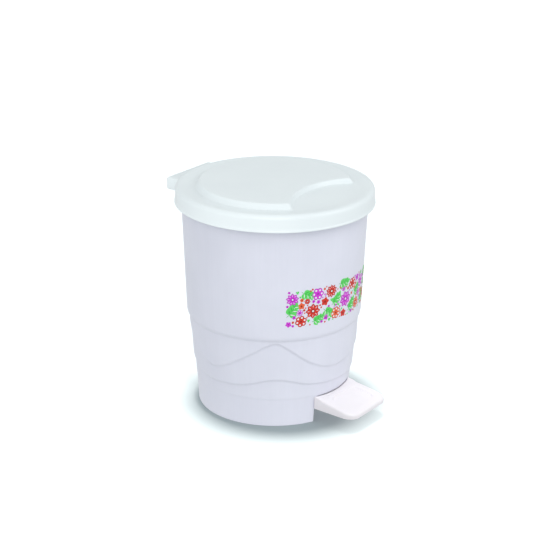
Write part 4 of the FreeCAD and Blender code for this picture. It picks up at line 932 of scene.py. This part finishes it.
for s in (1, -1):
    xs = sorted((s * 20.0, s * 23.0))
    cheek(xs[0], xs[1])
lid_house = house.object("lid_hinge_housing", [MAT["lid"]], sharp=50)
bosses = Build()
for x in (-6.0, 12.0):
    turned(bosses, [(2.9, 250.42), (3.2, 250.7), (3.2, 254.6), (3.7, 255.5)], 36, (x, 73.0, 0))
lid_bosses = bosses.object("lid_bosses", [MAT["lid"]])
for ob in (lid_shell, lid_house, lid_bosses):
    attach(ob, "lid")
    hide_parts("lid")

# ------------------------------------------------------------------ pedal
ped = Build()
SLOPE_SIDE = (PED_OUT - PED_IN) / (PED_FRONT - 77.0)


def tread_z(y, drop=0.0):
    """Upper face of the tread; its back edge turns up a little and is nearly square."""
    root = float(smoothstep((y + 91.5) / 3.6)) if drop <= 2.2 else 0.0
    return PED_EDGE + (PED_FRONT + y) * PED_TAN + 0.55 * root - drop * (1 - 0.7 * root)


def tread_outline(d):
    """Plan of the tread moved inwards by d: two sides, two round front corners, a back edge that follows the body."""
    nrm = math.hypot(1, SLOPE_SIDE)
    side_x = lambda y: PED_IN + (-77.0 - y) * SLOPE_SIDE - d * nrm
    rc = max(13.0 - d, 1.0)
    yf = -PED_FRONT + d
    # corner centre: rc inside the side line and the front line
    cy = yf + rc
    cx = side_x(cy) - rc * nrm
    tilt = math.degrees(math.atan(SLOPE_SIDE))
    rb = 87.0 + 0.3 * d
    yb = -81.0
    for _ in range(30):
        x = side_x(yb)
        yb = -math.sqrt(rb * rb - x * x)
    xb = side_x(yb)
    right = []
    a_side = -tilt
    x_s, y_s = cx + rc * math.cos(math.radians(a_side)), cy + rc * math.sin(math.radians(a_side))
    for i in range(24):
        t = i / 24.0
        right.append((xb + (x_s - xb) * t, yb + (y_s - yb) * t))
    for i in range(21):
        a = a_side + (-90 - a_side) * i / 20.0
        right.append((cx + rc * math.cos(math.radians(a)), cy + rc * math.sin(math.radians(a))))
    front_edge = [(cx * (1 - 2 * i / 24.0), yf) for i in range(1, 24)]
    left = [(-x, y) for x, y in reversed(right)]
    ab = math.degrees(math.asin(xb / rb))
    back = [(rb * math.sin(math.radians(-ab + 2 * ab * i / 36.0)), -rb * math.cos(math.radians(-ab + 2 * ab * i / 36.0))) for i in range(1, 36)]
    return right + front_edge + left + back


T = len(tread_outline(0))


def tread_ring(d, z=None, drop=0.0):
    pts = tread_outline(d)
    return ped.add([(x, y, tread_z(y, drop) if z is None else z) for x, y in pts])


def recess_outline(d, lift=0.0):
    """Rounded field in the middle of the tread, with as many points as the outline, matched by direction."""
    cxm, cym = 0.0, -108.6
    hx0, hx1, y0, y1, rr = 22.5 - d, 24.0 - d, -94.5 - d, -122.7 + d, max(7.0 - d, 0.5)
    base = []
    for sx, sy, a0 in ((1, 1, 0), (-1, 1, 90), (-1, -1, 180), (1, -1, 270)):
        hx = hx0 if sy > 0 else hx1
        yy = y0 if sy > 0 else y1
        cx, cy = sx * (hx - rr), yy - sy * rr
        for i in range(19):
            a = math.radians(a0 + 90 * i / 18.0)
            base.append((cx + rr * math.cos(a), cy + rr * math.sin(a)))
    base = np.array(base)
    # resample by arc length from the point that faces the outline's first one
    ref = np.array(tread_outline(2.4))
    angs = np.arctan2(ref[:, 1] - cym, ref[:, 0] - cxm)
    dense = []
    for i in range(len(base)):
        p, q = base[i], base[(i + 1) % len(base)]
        n = max(2, int(np.hypot(*(q - p)) / 0.25))
        for j in range(n):
            dense.append(p + (q - p) * j / n)
    dense = np.array(dense)
    da = np.arctan2(dense[:, 1] - cym, dense[:, 0] - cxm)
    order = np.argsort(da)
    da, dense = da[order], dense[order]
    xs = np.interp(angs, np.concatenate([da - 2 * np.pi, da, da + 2 * np.pi]), np.tile(dense[:, 0], 3))
    ys = np.interp(angs, np.concatenate([da - 2 * np.pi, da, da + 2 * np.pi]), np.tile(dense[:, 1], 3))
    return list(zip(xs, ys))


def recess_ring(d, drop):
    return ped.add([(x, y, tread_z(y, drop)) for x, y in recess_outline(d)])


rows = [tread_ring(2.4, 17.1), tread_ring(2.1, PED_LOW), tread_ring(0.5, PED_LOW), tread_ring(0.12, 16.95), tread_ring(0.0, 17.4)]
rows += [tread_ring(0.0, None, 2.2)]
for a in (15, 30, 45, 60, 75, 90):
    rows.append(tread_ring(2.2 * (1 - math.cos(math.radians(a))), None, 2.2 * (1 - math.sin(math.radians(a)))))
rows += [recess_ring(-0.2, 0.0), recess_ring(0.0, 0.06), recess_ring(0.35, 0.42), recess_ring(0.7, 0.84), recess_ring(1.0, 0.9)]
for a, b in zip(rows, rows[1:]):
    ped.bridge(a, b, T)
ped.fan(rows[-1], T, (0, -108.6, tread_z(-108.6, 0.9)))
rows_in = [rows[0], tread_ring(2.4, None, 3.6), tread_ring(2.8, None, 2.7), tread_ring(3.6, None, 2.4)]
for a, b in zip(rows_in, rows_in[1:]):
    ped.bridge(a, b, T)
ped.fan(rows_in[-1], T, (0, -108.6, tread_z(-108.6, 2.4)))
# neck: roof, two sides and a middle rib
NH = 27.6
roof = [(-90.4, 26.8), (-90.4, 29.2), (-86.0, 29.4), (-70.0, 28.4), (PY, PZ + 5.2), (PY + 1, PZ + 2.8), (PY - 8, PZ + 2.6), (-70.0, 25.8), (-86.0, 26.8)]
prism(ped, roof, "x", -NH, NH, 0.5, 2)
flank = [(-90.4, PED_LOW), (-90.4, 29.0), (-86.0, 29.2), (-70.0, 28.2), (PY, PZ + 5.0), (PY + 3, PZ), (PY + 3, PED_LOW)]
prism(ped, flank, "x", NH - 2.4, NH, 0.5, 2)
prism(ped, flank, "x", -NH, -NH + 2.4, 0.5, 2)
prism(ped, [(-90, PED_LOW + 0.2), (-90, 24), (PY, 24), (PY, PED_LOW + 0.2)], "x", -1.2, 1.2, 0.3, 1)
turned(ped, [(4.8, -27.0), (5.4, -26.4), (5.4, 26.4), (4.8, 27.0)], 48, (0, PY, PZ), "x")
# lever below the floor: a channel that ends in a fork with slotted eyes
l0y, l0z = PY, PZ - 1.0
ly, lz = FY - l0y, FZ - l0z
ll = math.hypot(ly, lz)
uy, uz = ly / ll, lz / ll


def along(t, n):
    return (l0y + uy * t - uz * n, l0z + uz * t + uy * n)


prism(ped, [along(2, 1.8), along(ll - 15, 1.8), along(ll - 15, 4.2), along(2, 4.2)], "x", -7.6, 7.6, 0.5, 2)
prism(ped, [along(ll - 21, -4.1), along(ll - 15.2, -4.1), along(ll - 15.2, 4.05), along(ll - 21, 4.05)], "x", -7.5, 7.5, 0.5, 2)
for s in (1, -1):
    xs = sorted((s * 5.2, s * 7.6))
    prism(ped, [along(0, -4.2), along(ll - 14.5, -4.2), along(ll - 14.5, 4.2), along(0, 4.2)], "x", xs[0], xs[1], 0.5, 2)
    # one eye: a plate with a round end and a slot
    xs = sorted((s * 4.6, s * 7.6))
    ang = math.degrees(math.atan2(lz, ly))
    c, si_ = math.cos(math.radians(ang)), math.sin(math.radians(ang))

    def eye_point(radius, half, k, n=40):
        a = 2 * math.pi * k / n
        dx, dz = math.cos(a), math.sin(a)
        px = (half if dx > 1e-9 else (-half if dx < -1e-9 else 0)) + radius * dx
        return (FY + 0.2 + px * c - radius * dz * si_, FZ + px * si_ + radius * dz * c)

    K = 40
    plate_start = along(ll - 15.2, 0)
    hole = [eye_point(2.05, 0.55, k) for k in range(K)]
    rim_pts = []
    for k in range(K):
        a = 2 * math.pi * k / K
        if math.cos(a) >= -0.02:
            rim_pts.append(along(ll + 4.2 * math.cos(a), 4.2 * math.sin(a)))
        else:
            t = ll - 15.2 * min(1.0, -math.cos(a) * 1.45)
            rim_pts.append(along(t, max(-4.2, min(4.2, 4.2 * math.sin(a) * 3.2))))
    rings = []
    for x in xs:
        rings.append((ped.add([(x, y, z) for y, z in hole]), ped.add([(x, y, z) for y, z in rim_pts])))
    for h, o in rings:
        ped.bridge(h, o, K)
    ped.bridge(rings[0][0], rings[1][0], K)
    ped.bridge(rings[0][1], rings[1][1], K)
pedal_ob = ped.object("pedal_moulding", [MAT["pedal"]], sharp=45)
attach(pedal_ob, "pedal")
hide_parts("pedal")

# ------------------------------------------------------------------ inner bucket
bk = Build()
NB = 288
thb = np.arange(NB) * 360.0 / NB
wall_path = [(0.5, 41.0), (40, 41.0), (66.9, 41.0), (67.3, 40.6), (67.7, 34.0), (68.0, 33.4), (68.8, 33.3), (71.2, 33.3), (71.75, 33.7), (72.1, 35.2), (76.4, 95.0), (80.6, 152.0), (84.9, 211.0), (85.3, 215.7), (85.3, 216.6), (85.0, 217.2), (84.4, 217.5), (83.9, 217.35), (83.5, 216.7), (79.2, 155.0), (75.0, 97.0), (70.7, 38.5), (69.9, 36.4), (69.2, 36.2), (68.7, 38.0), (68.5, 42.2), (67.9, 42.75), (67.0, 42.8), (40, 42.8), (0.5, 42.8)]
rings = [bk.add(polar(r, thb, z)) for r, z in wall_path]
for a, b in zip(rings, rings[1:]):
    bk.bridge(a, b, NB)
bk.fan(rings[0], NB, (0, 0, 41.0))
bk.fan(rings[-1], NB, (0, 0, 42.8))
rim_prof = [(84.2, 215.7), (93.6, 215.7), (94.2, 215.1), (94.2, 210.4), (94.5, 210.0), (95.4, 210.0), (95.8, 210.5), (95.8, 216.4), (95.5, 217.1), (94.9, 217.5), (84.2, 217.5)]
gap_a = math.degrees(math.asin(12.6 / 92.0))
swept(bk, rim_prof, -(180 - gap_a), 180 - gap_a, 280)
for s in (1, -1):
    xs = sorted((s * 89.5, s * 92.5))
    K = 48
    hole = [(1.58 * math.cos(2 * math.pi * k / K), 221.0 + 1.58 * math.sin(2 * math.pi * k / K)) for k in range(K)]
    outer_pts = []
    for k in range(K):
        a = 2 * math.pi * k / K
        if math.sin(a) >= -0.02:
            outer_pts.append((4.7 * math.cos(a), 220.5 + 4.7 * math.sin(a)))
        else:
            m = max(abs(math.cos(a)), abs(math.sin(a)) * 0.85)
            outer_pts.append((max(-5, min(5, 5 * math.cos(a) / m)), max(216.8, 220.5 + 4.4 * math.sin(a) / m)))
    rr = [(bk.add([(x, y, z) for y, z in hole]), bk.add([(x, y, z) for y, z in outer_pts])) for x in xs]
    for h, o in rr:
        bk.bridge(h, o, K)
    bk.bridge(rr[0][0], rr[1][0], K)
    bk.bridge(rr[0][1], rr[1][1], K)
bucket_ob = bk.object("bucket_moulding", [MAT["bucket"]], sharp=45)
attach(bucket_ob, "bucket")
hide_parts("inner_bucket")

# ------------------------------------------------------------------ CAD parts that stay: material, and softened edges
KEEP = {
    "lid_lever": ("lever", 0.45), "lid_lever_screws": ("zinc", 0.15), "hinge_pin": ("wire", 0.0), "hinge_pin_caps": ("bush", 0.2),
    "lift_rod": ("wire", 0.0), "rod_end_caps": ("bush", 0.15), "lower_rod_bush": ("bush", 0.2), "upper_rod_bush": ("bush", 0.3),
    "rod_cover": ("cover", 0.35), "pedal_pivot_pin": ("wire", 0.0), "pedal_pin_clips": ("zinc", 0.2), "left_pedal_bearing": ("bush", 0.4),
    "right_pedal_bearing": ("bush", 0.4), "bearing_screws": ("zinc", 0.15), "bucket_bail": ("wire", 0.0), "bail_grip": ("grip", 0.0),
}
for name, (mat, bevel) in KEEP.items():
    ob = NODES[name]
    ob.data.materials.clear()
    ob.data.materials.append(MAT[mat])
    if bevel:
        w = ob.modifiers.new("weld", "WELD")
        w.merge_threshold = 0.00001
        b = ob.modifiers.new("bevel", "BEVEL")
        b.width = bevel * MM
        b.segments = 2
        b.limit_method = "ANGLE"
        b.angle_limit = math.radians(50)
        b.harden_normals = False

# ------------------------------------------------------------------ stage
fm, fnt, fsh = tree("floor_white")
ftc = node(fnt, "ShaderNodeTexCoord").outputs["Object"]
fnt.links.new(ramp(fnt, noise(fnt, ftc, 3.0, 2.0), [(0.3, (0.445, 0.515, 0.525)), (0.7, (0.45, 0.52, 0.53))]), fsh.inputs["Base Color"])
fsh.inputs["Roughness"].default_value = 0.8
fsh.inputs["Specular IOR Level"].default_value = 0.1
fb = Build()
s = fb.add([(-30000, -30000, 0), (30000, -30000, 0), (30000, 30000, 0), (-30000, 30000, 0)])
fb.face((s, s + 1, s + 2, s + 3))
floor = fb.object("floor", [fm], fix=False)
floor.visible_diffuse = False
floor.visible_glossy = False
floor.visible_shadow = False

PIECES = [o for o in bpy.context.scene.objects if o.type == "MESH" and o is not floor]
LID_SET = [o for o in PIECES if o.name.startswith("lid")]
REST_SET = [o for o in PIECES if o not in LID_SET]


def only_on(lamp, objs):
    """The light reaches these objects alone."""
    c = bpy.data.collections.new(lamp.name + "_reach")
    for o in objs:
        c.objects.link(o)
    lamp.light_linking.receiver_collection = c


def lamp_at(name, lt, az, el, dist, aim=(0, 0, 0.13)):
    ob = bpy.data.objects.new(name, lt)
    a, e = math.radians(az), math.radians(el)
    d = Vector((math.sin(a) * math.cos(e), -math.cos(a) * math.cos(e), math.sin(e)))
    ob.location = Vector(aim) + d * dist
    ob.rotation_mode = "QUATERNION"
    ob.rotation_quaternion = d.to_track_quat("Z", "Y")
    ob.visible_camera = False
    bpy.context.scene.collection.objects.link(ob)
    return ob


def area(name, az, el, dist, size, power, colour=(1, 1, 1), size_y=None, aim=(0, 0, 0.13)):
    """A soft light at an azimuth (0 is in front, positive towards +X) and elevation, aimed at the can."""
    lt = bpy.data.lights.new(name, "AREA")
    lt.shape = "RECTANGLE"
    lt.size, lt.size_y = size, size_y or size
    lt.energy = power
    lt.color = colour
    return lamp_at(name, lt, az, el, dist, aim)


PEDAL_SET = [o for o in REST_SET if o.name.startswith("pedal_moulding")]
CAN_SET = [o for o in REST_SET if o not in PEDAL_SET]
LAMPS = (
    ("lid_left_low", -100, 5, 4.6, LID_SET),
    ("lid_left", -84, 32, 4.0, LID_SET),
    ("lid_key", -54, 24, 12.4, LID_SET),
    ("lid_right", 24, 34, 9.0, LID_SET),
    ("body_low", -60, 5, 3.6, CAN_SET),
    ("body_far_left", -130, 32, 2.5, CAN_SET),
    ("body_left", -74, 32, 4.8, CAN_SET),
    ("body_front", -10, 32, 7.3, CAN_SET),
    ("body_high", -15, 58, 13.8, REST_SET),
    ("body_back", 142, 48, 14.0, REST_SET),
    ("pedal_high", -20, 74, 9.5, PEDAL_SET),
)
for name, az, el, power, reach in LAMPS:
    only_on(area(name, az, el, 2.4, 1.3, power), reach)
for name, energy, casters in (("floor_light", 1.5, REST_SET), ("floor_fill", 4.2, [o for o in REST_SET if not o.name.startswith("pedal")])):
    sun = bpy.data.lights.new(name, "SUN")
    sun.energy = energy
    sun.angle = math.radians(10)
    sun.color = (1.0, 0.92, 0.90)
    sun_ob = lamp_at(name, sun, 168, 86.3, 3.0)
    only_on(sun_ob, [floor])
    hold = bpy.data.collections.new(name + "_casters")
    for o in casters:
        hold.objects.link(o)
    sun_ob.light_linking.blocker_collection = hold

world = bpy.data.worlds.new("studio")
bpy.context.scene.world = world
world.use_nodes = True
wnt = world.node_tree
bg = wnt.nodes["Background"]
wsep = node(wnt, "ShaderNodeSeparateXYZ")
wnt.links.new(node(wnt, "ShaderNodeTexCoord").outputs["Generated"], wsep.inputs[0])
sky = ramp(wnt, to_range(wnt, wsep.outputs["Z"], 0.0, 1.0, -1.0, 1.0), [(0.45, (0.748, 0.773, 0.782)), (0.55, (0.742, 0.767, 0.774))])
wnt.links.new(sky, bg.inputs["Color"])
bg.inputs["Strength"].default_value = 1.0

# ------------------------------------------------------------------ camera
cam = bpy.data.cameras.new("camera")
cam.sensor_width = 36.0
cam.lens = 107.3
cam.shift_x = (280.0 - 274.05) / 560.0
cam.shift_y = (291.15 - 280.0) / 560.0
cam.clip_start, cam.clip_end = 0.05, 60.0
cam_ob = bpy.data.objects.new("camera", cam)
bpy.context.scene.collection.objects.link(cam_ob)
AZ, EL, DIST, ROLL = math.radians(-54.0), math.radians(21.43), 1.870, math.radians(0.56)
back = Vector((math.sin(AZ) * math.cos(EL), -math.cos(AZ) * math.cos(EL), math.sin(EL)))
cam_ob.location = Vector((0, 0, 0.1265)) + back * DIST
cam_ob.rotation_mode = "QUATERNION"
cam_ob.rotation_quaternion = (-back).to_track_quat("-Z", "Y") @ Matrix.Rotation(ROLL, 3, "Z").to_quaternion()
bpy.context.scene.camera = cam_ob
bpy.context.scene.view_settings.view_transform = "Standard"
